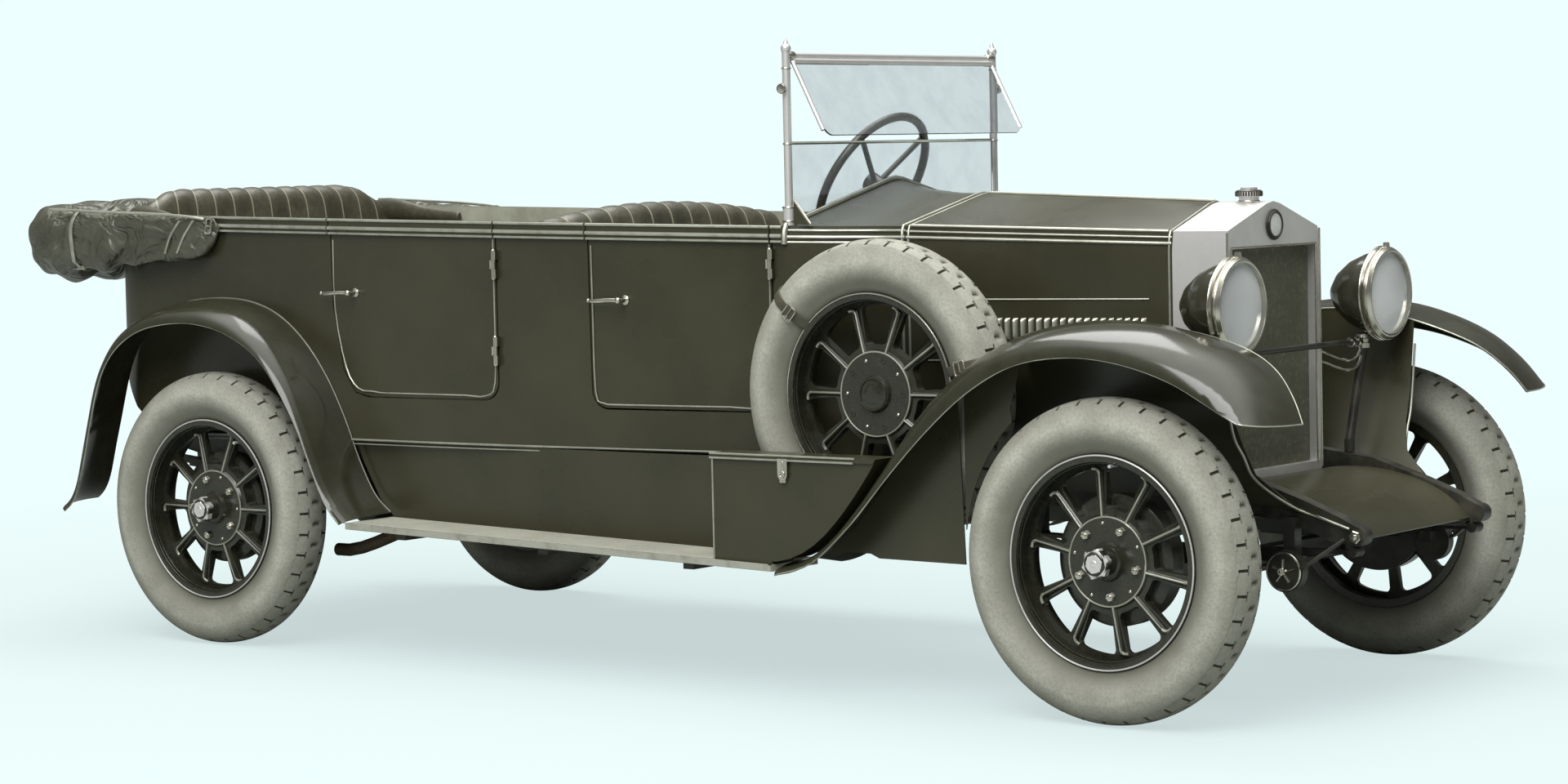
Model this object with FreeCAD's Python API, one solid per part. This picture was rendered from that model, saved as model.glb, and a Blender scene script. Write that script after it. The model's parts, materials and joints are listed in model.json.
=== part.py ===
import FreeCAD, Part
import math
import os

# An open touring car of the 1920s, in millimetres.
# While it is drawn, x runs forward from the rear axle, y to the left, z up from the ground.
# At the end every piece moves back by middle_x, so the origin lies under the middle of the car.
middle_x = 1357.0

# wheels and tyres
wheelbase = 3152.0
track = 1423.0
tyre_radius = 406.0
tyre_width = 150.0
seat_radius = 254.0
rim_lip_radius = 268.5
rim_half_width = 52.0
rim_wall = 5.0
flange_radius = 113.0
flange_out = 22.0
spoke_count = 10
spoke_radius = 9.0
spoke_tip = 226.0
window_inner = 130.0
window_outer = 232.0
window_angle = 27.0
window_corner = 14.0
drum_radius = 165.0
drum_inner = -62.0
drum_outer = -14.0
hub_radius = 46.0
cap_radius = 33.0
cap_barrel = 40.0
cap_corner = 39.5
cap_length = 62.0
front_turn = 11.0
spindle_radius = 20.0
shaft_radius = 36.0
shaft_end_x = 1980.0
shaft_end_z = 515.0
pin_clearance = 0.3
seat_clearance = 0.3

# front axle and steering
kingpin_y = track / 2.0 - 111.5
kingpin_radius = 12.0
axle_drop = 66.0
beam_width = 50.0
beam_height = 60.0
steer_arm_length = 170.0

# chassis
rail_y = 322.0
rail_width = 42.0
rail_depth = 120.0
rail_rear = -560.0
iron_tip_x = wheelbase + 478.0
iron_tip_z = 452.0
iron_tip_radius = 24.0
spring_width = 42.0
leaf_thickness = 8.0

# body
body_rear = -620.0
tail_radius = 220.0
body_half_rear = track / 2.0 - 89.5
body_half_front = body_half_rear - 107.0
body_wall = 36.0
body_bottom = 612.0
body_front = 2000.0
taper_start = 400.0
floor_thickness = 30.0
belt_rear_z = 1285.0
belt_front_z = 1232.0
belt_out = 9.0
belt_height = 46.0
door_gap = 5.0
rear_door_back = 399.0
rear_door_front = 1042.0
front_door_back = 1360.0
front_door_front = 1966.0
door_bottom_rear = 742.0
door_bottom_front = 726.0
door_corner = 55.0
hinge_radius = 7.0
hinge_pin = 3.5
hinge_height = 78.0
hinge_stand_off = 2.0
hinge_low_z = 885.0
hinge_high_z = 1130.0

# scuttle, bonnet and radiator
joint_x = 2310.0
scuttle_peak = 1350.0
bonnet_half = 385.0
bonnet_front_half = 236.0
bonnet_peak_rear = 1306.0
bonnet_peak_front = 1276.0
shoulder_rear = 1226.0
shoulder_front = 1203.0
bonnet_bottom = 640.0
panel_wall = 12.0
radiator_rear = wheelbase - 102.0
radiator_face = radiator_rear + 162.0
radiator_half = 240.0
radiator_bottom = 560.0
radiator_shoulder = 1205.0
radiator_peak = 1276.0
header_lower = 1160.0
shell_rim = 22.0
core_recess = 24.0
badge_radius = 36.0
badge_z = 1215.0
louvre_count = 22
louvre_pitch = 22.0
louvre_width = 8.0
louvre_start = radiator_rear - 545.0
louvre_low = 926.0
louvre_high = 978.0
cap_x = radiator_rear + 90.0
neck_radius = 26.0
filler_radius = 34.0

# wings, boards and boxes
wing_wall = 4.0
wing_lip = 32.0
wing_outer = track / 2.0 + 94.5
wing_ridge = wing_outer - 186.0
wing_shoulder = wing_ridge - 120.0
shoulder_drop = 22.0
board_outer = wing_outer - 16.0
board_inner = board_outer - 200.0
board_thickness = 18.0
board_rear_x = 600.0
board_front_x = wheelbase - 1002.0
board_rear_z = 392.0
board_front_z = 352.0
box_outer = board_outer - 8.0
box_inner = box_outer - 92.0
lid_z = 640.0
lid_height = 12.0

# windscreen
screen_x = 2003.0
screen_half = body_half_front - 24.0
post_radius = 11.0
post_seat = 0.3
post_top_z = 1700.0
glass_thickness = 5.0
lower_glass_top = 1452.0
visor_angle = 28.0
visor_length = 244.0
visor_arm_radius = 6.0
visor_corner = 25.0
top_rail_radius = 9.0

# lamps
lamp_x = wheelbase + 188.0
lamp_y = 388.0
lamp_z = 1020.0
lamp_radius = 125.0
lamp_depth = 170.0
tie_bar_z = 892.0
damper_x = wheelbase + 308.0
damper_z = 364.0
damper_radius = 52.0
damper_thickness = 28.0
damper_out = 404.0

# spare wheel
spare_x = wheelbase - 778.0
spare_z = 794.0
spare_y = 111.5 - track / 2.0

# steering wheel
column_hub = FreeCAD.Vector(1702.0, body_half_front - 215.0, 1335.0)
column_lean = 30.0
column_past_scuttle = 67.5
steering_radius = 219.0
steering_rim = 12.5

# seats and hood
front_seat_back_x = 1190.0
rear_seat_back_x = -430.0

rail_top = body_bottom - seat_clearance
rail_bottom = rail_top - rail_depth
rail_outer = rail_y + rail_width / 2.0
rail_inner = rail_y - rail_width / 2.0

X = FreeCAD.Vector(1, 0, 0)
Y = FreeCAD.Vector(0, 1, 0)
Z = FreeCAD.Vector(0, 0, 1)
O = FreeCAD.Vector(0, 0, 0)
pieces = {}


def point(x, y, z):
    return FreeCAD.Vector(x, y, z)


def box(x0, x1, y0, y1, z0, z1):
    return Part.makeBox(x1 - x0, y1 - y0, z1 - z0, point(x0, y0, z0))


def rod(start, end, radius):
    line = end.sub(start)
    return Part.makeCylinder(radius, line.Length, start, line)


def fuse(shapes):
    whole = shapes[0].multiFuse(shapes[1:]) if len(shapes) > 1 else shapes[0]
    return whole.removeSplitter()


def mirrored(shape):
    return shape.mirror(O, Y)


def both(shape):
    return [shape, mirrored(shape)]


def moved(shape, x, y, z):
    copy = shape.copy()
    copy.translate(point(x, y, z))
    return copy


def turned(shape, centre, axis, degrees):
    copy = shape.copy()
    copy.rotate(centre, axis, degrees)
    return copy


def polygon(points):
    return Part.makePolygon(points + [points[0]])


def side_profile(points, y0, y1):
    # a closed outline of (x, z) points, drawn across from y0 to y1
    face = Part.Face(polygon([point(x, y0, z) for x, z in points]))
    return face.extrude(point(0, y1 - y0, 0))


def curve(points):
    spline = Part.BSplineCurve()
    spline.interpolate(points)
    return spline.toShape()


def outward(solid):
    # a solid whose faces look out
    return solid if solid.Volume > 0 else solid.reversed()


def loft(wires):
    return outward(Part.makeLoft(wires, True, True))


def revolve_y(points, centre):
    # (radius, y) outline turned round a line along y through the centre
    wire = polygon([point(centre.x + r, centre.y + y, centre.z) for r, y in points])
    return Part.Face(wire).revolve(centre, Y, 360)


def along(fraction, first, last):
    return first + (last - first) * fraction


def belt_z(x):
    return along((x - body_rear) / (body_front - body_rear), belt_rear_z, belt_front_z)


def shaft_z(x):
    return along(x / shaft_end_x, tyre_radius, shaft_end_z)


def board_z(x):
    return along((x - board_rear_x) / (board_front_x - board_rear_x), board_rear_z, board_front_z)


def body_half(x):
    # the body keeps its width along the rear doors and draws in towards the windscreen
    share = max(0.0, x - taper_start) / (body_front - taper_start)
    return body_half_rear - (body_half_rear - body_half_front) * share ** 2


def tyre(centre):
    half = tyre_width / 2.0
    rim = rim_half_width - 6.0
    outline = [
        (seat_radius + pin_clearance, -rim),
        (seat_radius + pin_clearance, rim),
        (278.0, rim - 1.0),
        (292.0, half - 16.0),
        (312.0, half - 4.0),
        (334.0, half),
        (358.0, half - 3.0),
        (378.0, half - 13.0),
        (395.0, half - 27.0),
        (403.0, half - 45.0),
        (tyre_radius, 0.0),
    ]
    mirror_side = [(r, -y) for r, y in reversed(outline[2:-1])]
    return revolve_y(outline + mirror_side, centre)


def wheel(centre, out, turn, with_drum, with_cap):
    # out is 1 for a wheel whose face looks to the left and -1 to the right
    # turn is how far the spokes stand round from the one that points forward
    inner_seat = seat_radius - rim_wall
    rim = [
        (inner_seat, -rim_half_width),
        (inner_seat, rim_half_width),
        (inner_seat + 6.0, rim_half_width + 2.0),
        (rim_lip_radius, rim_half_width),
        (rim_lip_radius, rim_half_width - 5.5),
        (seat_radius, rim_half_width - 5.5),
        (seat_radius, -rim_half_width + 5.5),
        (rim_lip_radius, -rim_half_width + 5.5),
        (rim_lip_radius, -rim_half_width),
    ]
    face = flange_out
    disc = [
        (spindle_radius + pin_clearance, drum_outer),
        (drum_radius - 12.0, drum_outer),
        (inner_seat + 1.0, face - 30.0),
        (inner_seat + 1.0, face - 22.0),
        (window_outer + 4.0, face - 20.0),
        (window_inner - 12.0, face - 6.0),
        (flange_radius, face),
        (hub_radius + 4.0, face),
        (hub_radius, face + 8.0),
        (cap_radius + 4.0, face + 12.0),
        (spindle_radius + pin_clearance, face + 12.0),
    ]
    parts = [revolve_y([(r, y * out) for r, y in rim], centre)]
    parts.append(revolve_y([(r, y * out) for r, y in disc], centre))
    base = centre.add(point(0, out * (face - 9.0), 0))
    for number in range(spoke_count):
        spoke = rod(base.add(point(flange_radius - 8.0, 0, 0)),
                    centre.add(point(spoke_tip, out * (face - 19.0), 0)), spoke_radius)
        parts.append(turned(spoke, centre, Y, turn + 360.0 / spoke_count * number))
    shape = parts[0].multiFuse(parts[1:])
    windows = []
    for number in range(spoke_count):
        middle = 360.0 / spoke_count * (number + 0.5) - turn
        behind_disc = point(centre.x, centre.y - 28.0, centre.z)
        ring = Part.makeCylinder(window_outer, 90.0, behind_disc, Y, window_angle)
        core = Part.makeCylinder(window_inner, 90.0, behind_disc, Y, window_angle)
        sector = ring.cut(core)
        upright = [edge for edge in sector.Edges
                   if abs(edge.tangentAt(edge.FirstParameter).dot(Y)) > 0.99 and edge.Length > 80.0]
        sector = sector.makeFillet(window_corner, upright).Solids[0]
        start = math.degrees(math.atan2(sector.CenterOfMass.z - centre.z, sector.CenterOfMass.x - centre.x))
        windows.append(turned(sector, centre, Y, start - middle))
    shape = shape.cut(Part.makeCompound(windows))
    behind = []
    if with_drum:
        drum = [
            (spindle_radius + pin_clearance, drum_inner),
            (drum_radius, drum_inner),
            (drum_radius, drum_outer - 4.0),
            (drum_radius - 12.0, drum_outer + 1.0),
            (spindle_radius + pin_clearance, drum_outer + 1.0),
        ]
        behind.append(revolve_y([(r, y * out) for r, y in drum], centre))
    if with_cap:
        # a plain barrel that carries a hexagon with a chamfered end
        barrel_foot = point(centre.x, centre.y + out * (face + 11.0), centre.z)
        behind.append(Part.makeCylinder(cap_radius, cap_barrel - 11.0, barrel_foot, Y * out))
        hexagon_y = centre.y + out * (face + cap_barrel - 1.0)
        hexagon = []
        for corner in range(6):
            angle = math.radians(60.0 * corner)
            hexagon.append(point(centre.x + cap_corner * math.cos(angle), hexagon_y,
                                 centre.z + cap_corner * math.sin(angle)))
        behind.append(Part.Face(polygon(hexagon)).extrude(point(0, out * 19.0, 0)))
        crown_foot = point(centre.x, hexagon_y + out * 18.0, centre.z)
        crown_height = cap_length - cap_barrel - 17.0
        behind.append(Part.makeCone(cap_radius, cap_radius - 6.0, crown_height, crown_foot, Y * out))
    if behind:
        shape = shape.multiFuse(behind)
    return shape.removeSplitter()


def wheel_centre(x, side):
    return point(x, side * track / 2.0, tyre_radius)


# wheels with their tyres, and the spare one
for place, x, turn in (("rear", 0.0, 0.0), ("front", wheelbase, front_turn)):
    for side_name, side in (("right", -1), ("left", 1)):
        centre = wheel_centre(x, side)
        pieces["wheel_" + place + "_" + side_name] = wheel(centre, side, turn, True, True)
        pieces["tyre_" + place + "_" + side_name] = tyre(centre)
spare_centre = point(spare_x, spare_y, spare_z)
pieces["spare_wheel"] = wheel(spare_centre, -1, 0.0, False, False)
pieces["spare_tyre"] = tyre(spare_centre)

# rear axle: casing, differential, brake plates, stub shafts and the tube of the propeller shaft
plate_in = track / 2.0 + drum_inner - 5.0
casing_radius = 38.0
axle_end = track / 2.0 + flange_out + 5.0
axle_parts = [rod(point(0, -plate_in, tyre_radius), point(0, plate_in, tyre_radius), casing_radius)]
axle_parts.append(Part.makeSphere(135.0, point(0, 0, tyre_radius)).common(
    box(-120, 120, -95, 95, tyre_radius - 135, tyre_radius + 135)))
for side in (-1, 1):
    axle_parts.append(rod(point(0, side * (plate_in - 6.0), tyre_radius), point(0, side * plate_in, tyre_radius),
                          drum_radius - 3.0))
    axle_parts.append(rod(point(0, side * plate_in, tyre_radius), point(0, side * axle_end, tyre_radius),
                          spindle_radius))
axle_parts.append(rod(point(0, 0, tyre_radius), point(shaft_end_x, 0, shaft_end_z), shaft_radius))
pieces["rear_axle"] = fuse(axle_parts)

# front axle beam between the kingpin eyes, dropped in the middle
beam_z = tyre_radius - axle_drop
beam_outline = [
    (-kingpin_y, tyre_radius + 32.0), (-kingpin_y + 40.0, tyre_radius + 32.0),
    (-kingpin_y + 130.0, beam_z + beam_height / 2.0), (kingpin_y - 130.0, beam_z + beam_height / 2.0),
    (kingpin_y - 40.0, tyre_radius + 32.0), (kingpin_y, tyre_radius + 32.0),
    (kingpin_y, tyre_radius - 32.0), (kingpin_y - 60.0, tyre_radius - 32.0),
    (kingpin_y - 150.0, beam_z - beam_height / 2.0), (-kingpin_y + 150.0, beam_z - beam_height / 2.0),
    (-kingpin_y + 60.0, tyre_radius - 32.0), (-kingpin_y, tyre_radius - 32.0),
]
beam = Part.Face(polygon([point(wheelbase - beam_width / 2.0, y, z) for y, z in beam_outline]))
beam = beam.extrude(point(beam_width, 0, 0))
for side in (-1, 1):
    eye_foot = point(wheelbase, side * kingpin_y, tyre_radius - 32.0)
    beam = beam.fuse(Part.makeCylinder(26.0, 64.0, eye_foot))
    beam = beam.cut(Part.makeCylinder(kingpin_radius + pin_clearance, 90.0, eye_foot.add(point(0, 0, -10.0))))
web_depth = 14.0
for face_x in (wheelbase - beam_width / 2.0, wheelbase + beam_width / 2.0 - web_depth):
    beam = beam.cut(box(face_x, face_x + web_depth, -kingpin_y + 175.0, kingpin_y - 175.0,
                        beam_z - beam_height / 2.0 + 12.0, beam_z + beam_height / 2.0 - 12.0))
pieces["front_axle"] = beam.removeSplitter()

# steering knuckles: a fork round the axle eye, kingpin, brake plate, stub and steering arm
arm_x = wheelbase - steer_arm_length
arm_y = kingpin_y
arm_z = tyre_radius - 58.0
for side_name, side in (("right", -1), ("left", 1)):
    y = side * kingpin_y
    stub_end = side * (track / 2.0 + flange_out + 5.0)
    plate_y = side * plate_in
    parts = [Part.makeCylinder(kingpin_radius, 124.0, point(wheelbase, y, tyre_radius - 62.0))]
    for z in (tyre_radius + 32.3, tyre_radius - 32.3 - 20.0):
        parts.append(Part.makeCylinder(27.0, 20.0, point(wheelbase, y, z)))
        parts.append(box(wheelbase - 22.0, wheelbase + 22.0, min(y, plate_y), max(y, plate_y), z, z + 20.0))
    parts.append(rod(point(wheelbase, plate_y - side * 9.0, tyre_radius), point(wheelbase, plate_y, tyre_radius),
                     drum_radius - 3.0))
    parts.append(rod(point(wheelbase, plate_y, tyre_radius), point(wheelbase, stub_end, tyre_radius),
                     spindle_radius))
    arm_foot = point(wheelbase - 18.0, y, arm_z)
    arm_eye = point(arm_x, side * arm_y, arm_z)
    parts.append(rod(arm_foot, arm_eye, 10.0))
    parts.append(Part.makeCylinder(16.0, 24.0, arm_eye.add(point(0, 0, -12.0))))
    parts.append(box(wheelbase - 24.0, wheelbase, y - 14.0, y + 14.0, arm_z - 10.0, tyre_radius - 40.0))
    shape = parts[0].multiFuse(parts[1:])
    shape = shape.cut(rod(arm_eye.add(point(0, 0, -20.0)), arm_eye.add(point(0, 0, 20.0)), 7.0 + pin_clearance))
    pieces["knuckle_" + side_name] = shape.removeSplitter()

# track rod behind the axle, with a pin down through each steering arm
rod_z = arm_z - 12.3 - 11.0
parts = [rod(point(arm_x, -arm_y, rod_z), point(arm_x, arm_y, rod_z), 10.0)]
for side in (-1, 1):
    parts.append(Part.makeCylinder(15.0, 22.0, point(arm_x, side * arm_y, rod_z - 11.0)))
    parts.append(Part.makeCylinder(7.0, 46.0, point(arm_x, side * arm_y, rod_z)))
pieces["track_rod"] = fuse(parts)

# chassis rails that run out into the dumb irons, and the members across between them
top_line = [
    (rail_rear, rail_top - 20.0), (rail_rear + 120.0, rail_top), (iron_tip_x - 680.0, rail_top),
    (iron_tip_x - 480.0, rail_top - 2.0), (iron_tip_x - 300.0, rail_top - 24.0),
    (iron_tip_x - 150.0, rail_top - 74.0), (iron_tip_x - 50.0, iron_tip_z + 48.0),
    (iron_tip_x, iron_tip_z + iron_tip_radius),
]
bottom_line = [
    (iron_tip_x, iron_tip_z - iron_tip_radius), (iron_tip_x - 70.0, iron_tip_z - 14.0),
    (iron_tip_x - 210.0, rail_bottom - 6.0), (iron_tip_x - 380.0, rail_bottom + 6.0),
    (iron_tip_x - 630.0, rail_bottom), (rail_rear + 240.0, rail_bottom),
    (rail_rear, rail_bottom + 50.0),
]
rail = side_profile(top_line + bottom_line, -rail_y - rail_width / 2.0, -rail_y + rail_width / 2.0)
rail = rail.fuse(rod(point(iron_tip_x, -rail_y - rail_width / 2.0, iron_tip_z),
                     point(iron_tip_x, -rail_y + rail_width / 2.0, iron_tip_z), iron_tip_radius))
pieces["chassis_frame"] = Part.makeCompound(both(rail.removeSplitter()))
cross_half = rail_inner - seat_clearance
members = []
for x in (rail_rear + 70.0, 470.0, 1230.0, radiator_rear + 50.0):
    low = max(rail_bottom + 6.0, shaft_z(x) + shaft_radius + 6.0) if 0.0 < x < shaft_end_x else rail_bottom + 6.0
    members.append(box(x - 40.0, x + 40.0, -cross_half, cross_half, low, radiator_bottom - seat_clearance))
pieces["cross_members"] = Part.makeCompound(members)

# carrier of the spare wheel: an arm from the right rail, an upright plate and a boss
carrier_y = spare_y + rim_half_width + 4.0
arm_low = rail_top - 30.0
parts = [box(spare_x - 35.0, spare_x + 35.0, carrier_y, -rail_outer - seat_clearance, arm_low - 25.0, arm_low)]
parts.append(side_profile([(spare_x - 35.0, arm_low - 25.0), (spare_x + 35.0, arm_low - 25.0),
                           (spare_x + 45.0, spare_z + 60.0), (spare_x - 45.0, spare_z + 60.0)],
                          carrier_y, carrier_y + 14.0))
parts.append(rod(point(spare_x, carrier_y, spare_z), point(spare_x, spare_y - flange_out + 8.0, spare_z),
                 spindle_radius))
parts.append(rod(point(spare_x, carrier_y, spare_z),
                 point(spare_x, spare_y - drum_outer + seat_clearance, spare_z), 60.0))
pieces["spare_carrier"] = fuse(parts)

# irons that carry the running boards: a leg down beside the rail and an arm out under the board
irons = []
for x in (760.0, 1300.0, 1820.0):
    top = board_z(x) - board_thickness - seat_clearance - 1.0
    leg_y = -rail_outer - seat_clearance
    iron = fuse([box(x - 18.0, x + 18.0, -board_outer + 60.0, leg_y, top - 24.0, top),
                 box(x - 18.0, x + 18.0, leg_y - 20.0, leg_y, top - 24.0, rail_bottom + 40.0)])
    irons += both(iron)
pieces["board_irons"] = Part.makeCompound(irons)


def leaf_pack(x_mid, half, eye_z, low_z, y, leaves):
    # arched leaves, each shorter than the one above it, clamped in the middle
    parts = []
    for number in range(leaves):
        reach = half * (1.0 - 0.8 * number / leaves)
        rise = (eye_z - low_z) * (reach / half) ** 2
        z0 = low_z - number * leaf_thickness
        outer = Part.Arc(point(x_mid - reach, y, z0 + rise), point(x_mid, y, z0),
                         point(x_mid + reach, y, z0 + rise))
        inner = Part.Arc(point(x_mid - reach, y, z0 + rise - leaf_thickness - 0.5),
                         point(x_mid, y, z0 - leaf_thickness - 0.5),
                         point(x_mid + reach, y, z0 + rise - leaf_thickness - 0.5))
        ends = [Part.makeLine(point(x_mid - reach, y, z0 + rise),
                              point(x_mid - reach, y, z0 + rise - leaf_thickness - 0.5)),
                Part.makeLine(point(x_mid + reach, y, z0 + rise),
                              point(x_mid + reach, y, z0 + rise - leaf_thickness - 0.5))]
        wire = Part.Wire(Part.__sortEdges__([outer.toShape(), inner.toShape()] + ends))
        parts.append(moved(Part.Face(wire).extrude(point(0, spring_width, 0)), 0, -spring_width / 2.0, 0))
    return parts


# leaf springs at both axles
spring_parts = []
front_spring_y = -rail_y
front_low = beam_z + beam_height / 2.0 + seat_clearance + 5 * leaf_thickness + 0.5
front_half = iron_tip_x - wheelbase
eye_z = iron_tip_z - iron_tip_radius - seat_clearance - 10.0
pack = leaf_pack(wheelbase, front_half - 14.0, eye_z, front_low, front_spring_y, 5)
for x in (wheelbase - front_half + 14.0, iron_tip_x - 14.0):
    pack.append(rod(point(x, front_spring_y - spring_width / 2.0, eye_z - 4.0),
                    point(x, front_spring_y + spring_width / 2.0, eye_z - 4.0), 14.0))
x = wheelbase - front_half + 14.0
pack.append(box(x - 10.0, x + 10.0, front_spring_y - spring_width / 2.0, front_spring_y + spring_width / 2.0,
                eye_z, rail_bottom - seat_clearance))
spring_front = fuse(pack)
rear_spring_y = -rail_outer - 42.0
rear_low = tyre_radius + casing_radius + seat_clearance + 6 * leaf_thickness + 0.5
rear_reach = 620.0
pack = leaf_pack(0.0, rear_reach, rear_low + 40.0, rear_low, rear_spring_y, 6)
for x in (-rear_reach, rear_reach):
    pack.append(rod(point(x, rear_spring_y - spring_width / 2.0, rear_low + 36.0),
                    point(x, -rail_outer - seat_clearance, rear_low + 36.0), 15.0))
spring_rear = fuse(pack)
pieces["leaf_springs"] = Part.makeCompound(both(spring_front) + both(spring_rear))

# engine and gearbox as one plain block
engine_half = 150.0
engine_back = radiator_rear - 630.0
engine_front = radiator_rear - 50.0
engine = [
    box(engine_back, engine_front, -engine_half, engine_half, 430.0, 980.0),
    box(shaft_end_x + 5.0, engine_back, -110.0, 110.0, 430.0, 600.0),
    box(engine_back + 60.0, engine_back + 120.0, -rail_inner + seat_clearance, rail_inner - seat_clearance,
        540.0, 570.0),
]
pieces["engine_block"] = fuse(engine)

# exhaust pipe along the right side, with a silencer and a tail that turns down
pipe_y = -250.0
pipe_radius = 24.0
pipe_front = point(2300.0, pipe_y, 430.0)
pipe_rear = point(640.0, pipe_y, 400.0)


def on_pipe(x):
    share = (x - pipe_rear.x) / (pipe_front.x - pipe_rear.x)
    return pipe_rear + (pipe_front - pipe_rear) * share


parts = [rod(pipe_front, pipe_rear, pipe_radius)]
pipe_elbow = point(2500.0, pipe_y, 470.0)
parts.append(rod(point(pipe_elbow.x, -engine_half - seat_clearance, pipe_elbow.z), pipe_elbow, pipe_radius))
parts.append(rod(pipe_elbow, pipe_front, pipe_radius))
parts.append(Part.makeSphere(pipe_radius, pipe_elbow))
parts.append(Part.makeSphere(pipe_radius, pipe_front))
parts.append(rod(on_pipe(1720.0), on_pipe(1040.0), 70.0))
bend = curve([pipe_rear, point(520.0, pipe_y - 90.0, 360.0), point(420.0, pipe_y - 175.0, 308.0),
              point(330.0, pipe_y - 205.0, 274.0), point(240.0, pipe_y - 208.0, 266.0)]).discretize(11)
for start, end in zip(bend, bend[1:]):
    parts.append(rod(start, end, 19.0))
    parts.append(Part.makeSphere(19.0, start))
pieces["exhaust_pipe"] = fuse(parts)

# body tub: walls round the cabin, floor, and doorways


def body_plan(inset, front_x):
    # outline of the body seen from above, pulled in by inset
    rear = body_rear + inset
    wide = body_half_rear - inset
    turn = tail_radius - inset
    diagonal = turn * (1.0 - math.sqrt(0.5))
    steps = [along(share, taper_start, front_x) for share in (0.0, 0.25, 0.5, 0.75, 1.0)]
    left = [
        curve([point(x, body_half(x) - inset, 0) for x in steps]),
        Part.makeLine(point(taper_start, wide, 0), point(rear + turn, wide, 0)),
        Part.Arc(point(rear + turn, wide, 0), point(rear + diagonal, wide - diagonal, 0),
                 point(rear, wide - turn, 0)).toShape(),
    ]
    right = [mirrored(edge) for edge in left]
    front_half = body_half(front_x) - inset
    cross = [Part.makeLine(point(rear, wide - turn, 0), point(rear, turn - wide, 0)),
             Part.makeLine(point(front_x, front_half, 0), point(front_x, -front_half, 0))]
    return Part.Wire(Part.__sortEdges__(left + right + cross))


def tail_profile(inset):
    # side view of the body, whose tail draws in towards the bottom
    rear = body_rear + inset
    low = body_bottom + (floor_thickness if inset else 0.0)
    return side_profile([(rear, 1400.0), (rear, 1060.0), (rear + 25.0, 930.0), (rear + 75.0, 800.0),
                         (rear + 165.0, 690.0), (rear + 290.0, low), (2500.0, low), (2500.0, 1400.0)],
                        -900.0, 900.0)


def above_belt(lower_by):
    # everything above the rail of the body, which falls a little towards the front
    back, front = -1200.0, 2400.0
    return side_profile([(back, belt_z(back) - lower_by), (front, belt_z(front) - lower_by),
                         (front, 1700.0), (back, 1700.0)], -900.0, 900.0)


def plan_block(inset, front_x):
    return moved(Part.Face(body_plan(inset, front_x)), 0, 0, 500.0).extrude(point(0, 0, 880.0))


tub = plan_block(0.0, body_front).common(tail_profile(0.0))
tub = tub.cut(plan_block(body_wall, body_front + 60.0).common(tail_profile(body_wall)))
belt_ring = plan_block(-belt_out, body_front).cut(plan_block(body_wall - 2.0, body_front + 60.0))
belt_ring = belt_ring.common(above_belt(belt_height))
shell = tub.fuse(belt_ring).cut(above_belt(0.0))


def door_outline(x_back, x_front, z_bottom, follows_wing):
    # side view of a door; the rear one follows the wing at its lower back corner
    top = 1400.0
    if follows_wing:
        back = [(x_back, top), (x_back + 8.0, 1010.0), (x_back + 44.0, 820.0), (x_back + 90.0, z_bottom + 12.0),
                (x_back + 140.0, z_bottom)]
    else:
        back = [(x_back, top), (x_back + 8.0, z_bottom)]
    return back + [(x_front, z_bottom), (x_front, top)]


def door_prism(points, shrink):
    face = Part.Face(polygon([point(x, -750.0, z) for x, z in points]))
    prism = face.extrude(point(0, 400.0, 0))
    low = [edge for edge in prism.Edges
           if abs(edge.tangentAt(edge.FirstParameter).dot(Y)) > 0.99
           and edge.BoundBox.ZMax < door_bottom_rear + 5.0]
    prism = prism.makeFillet(door_corner if len(low) < 3 else door_corner * 0.5, low)
    return prism.makeOffsetShape(-shrink, 0.01) if shrink else prism


def hinge_y(x):
    return body_half(x) + belt_out + hinge_stand_off


def hinge_halves(x, z):
    # the pillar's half has the outer knuckles and the pin, the door's half the middle knuckle
    y = -hinge_y(x)
    reach = y + belt_out + hinge_stand_off + 12.0
    foot = point(x, y, z - hinge_height / 2.0)
    knuckle = hinge_height / 3.0
    gap = 0.5
    fixed = [Part.makeCylinder(hinge_pin, hinge_height, foot)]
    for low in (0.0, 2.0 * knuckle):
        fixed.append(Part.makeCylinder(hinge_radius, knuckle, foot.add(Z * low)))
        fixed.append(box(x, x + 9.0, y - 3.0, reach, foot.z + low, foot.z + low + knuckle))
    barrel = Part.makeCylinder(hinge_radius, knuckle - 2.0 * gap, foot.add(Z * (knuckle + gap)))
    leaf = box(x - 12.0, x, y - 3.0, reach, foot.z + knuckle + gap, foot.z + 2.0 * knuckle - gap)
    bore = Part.makeCylinder(hinge_pin + pin_clearance, knuckle, foot.add(Z * knuckle))
    return fixed[0].multiFuse(fixed[1:]), barrel.fuse(leaf).cut(bore)


door_plans = {
    "rear": door_outline(rear_door_back, rear_door_front, door_bottom_rear, True),
    "front": door_outline(front_door_back, front_door_front, door_bottom_front, False),
}
whole_shell = shell
for place, points in door_plans.items():
    opening = door_prism(points, 0.0)
    slab = whole_shell.common(door_prism(points, door_gap))
    shell = shell.cut(opening).cut(mirrored(opening))
    hinge_x = points[-1][0] - door_gap / 2.0
    for z in (hinge_low_z, hinge_high_z):
        fixed, moving = hinge_halves(hinge_x, z)
        slab = slab.fuse(moving)
        shell = shell.fuse(fixed).fuse(mirrored(fixed))
    pieces["door_" + place + "_right"] = slab
    pieces["door_" + place + "_left"] = mirrored(slab)
pieces["body_tub"] = shell


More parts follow.
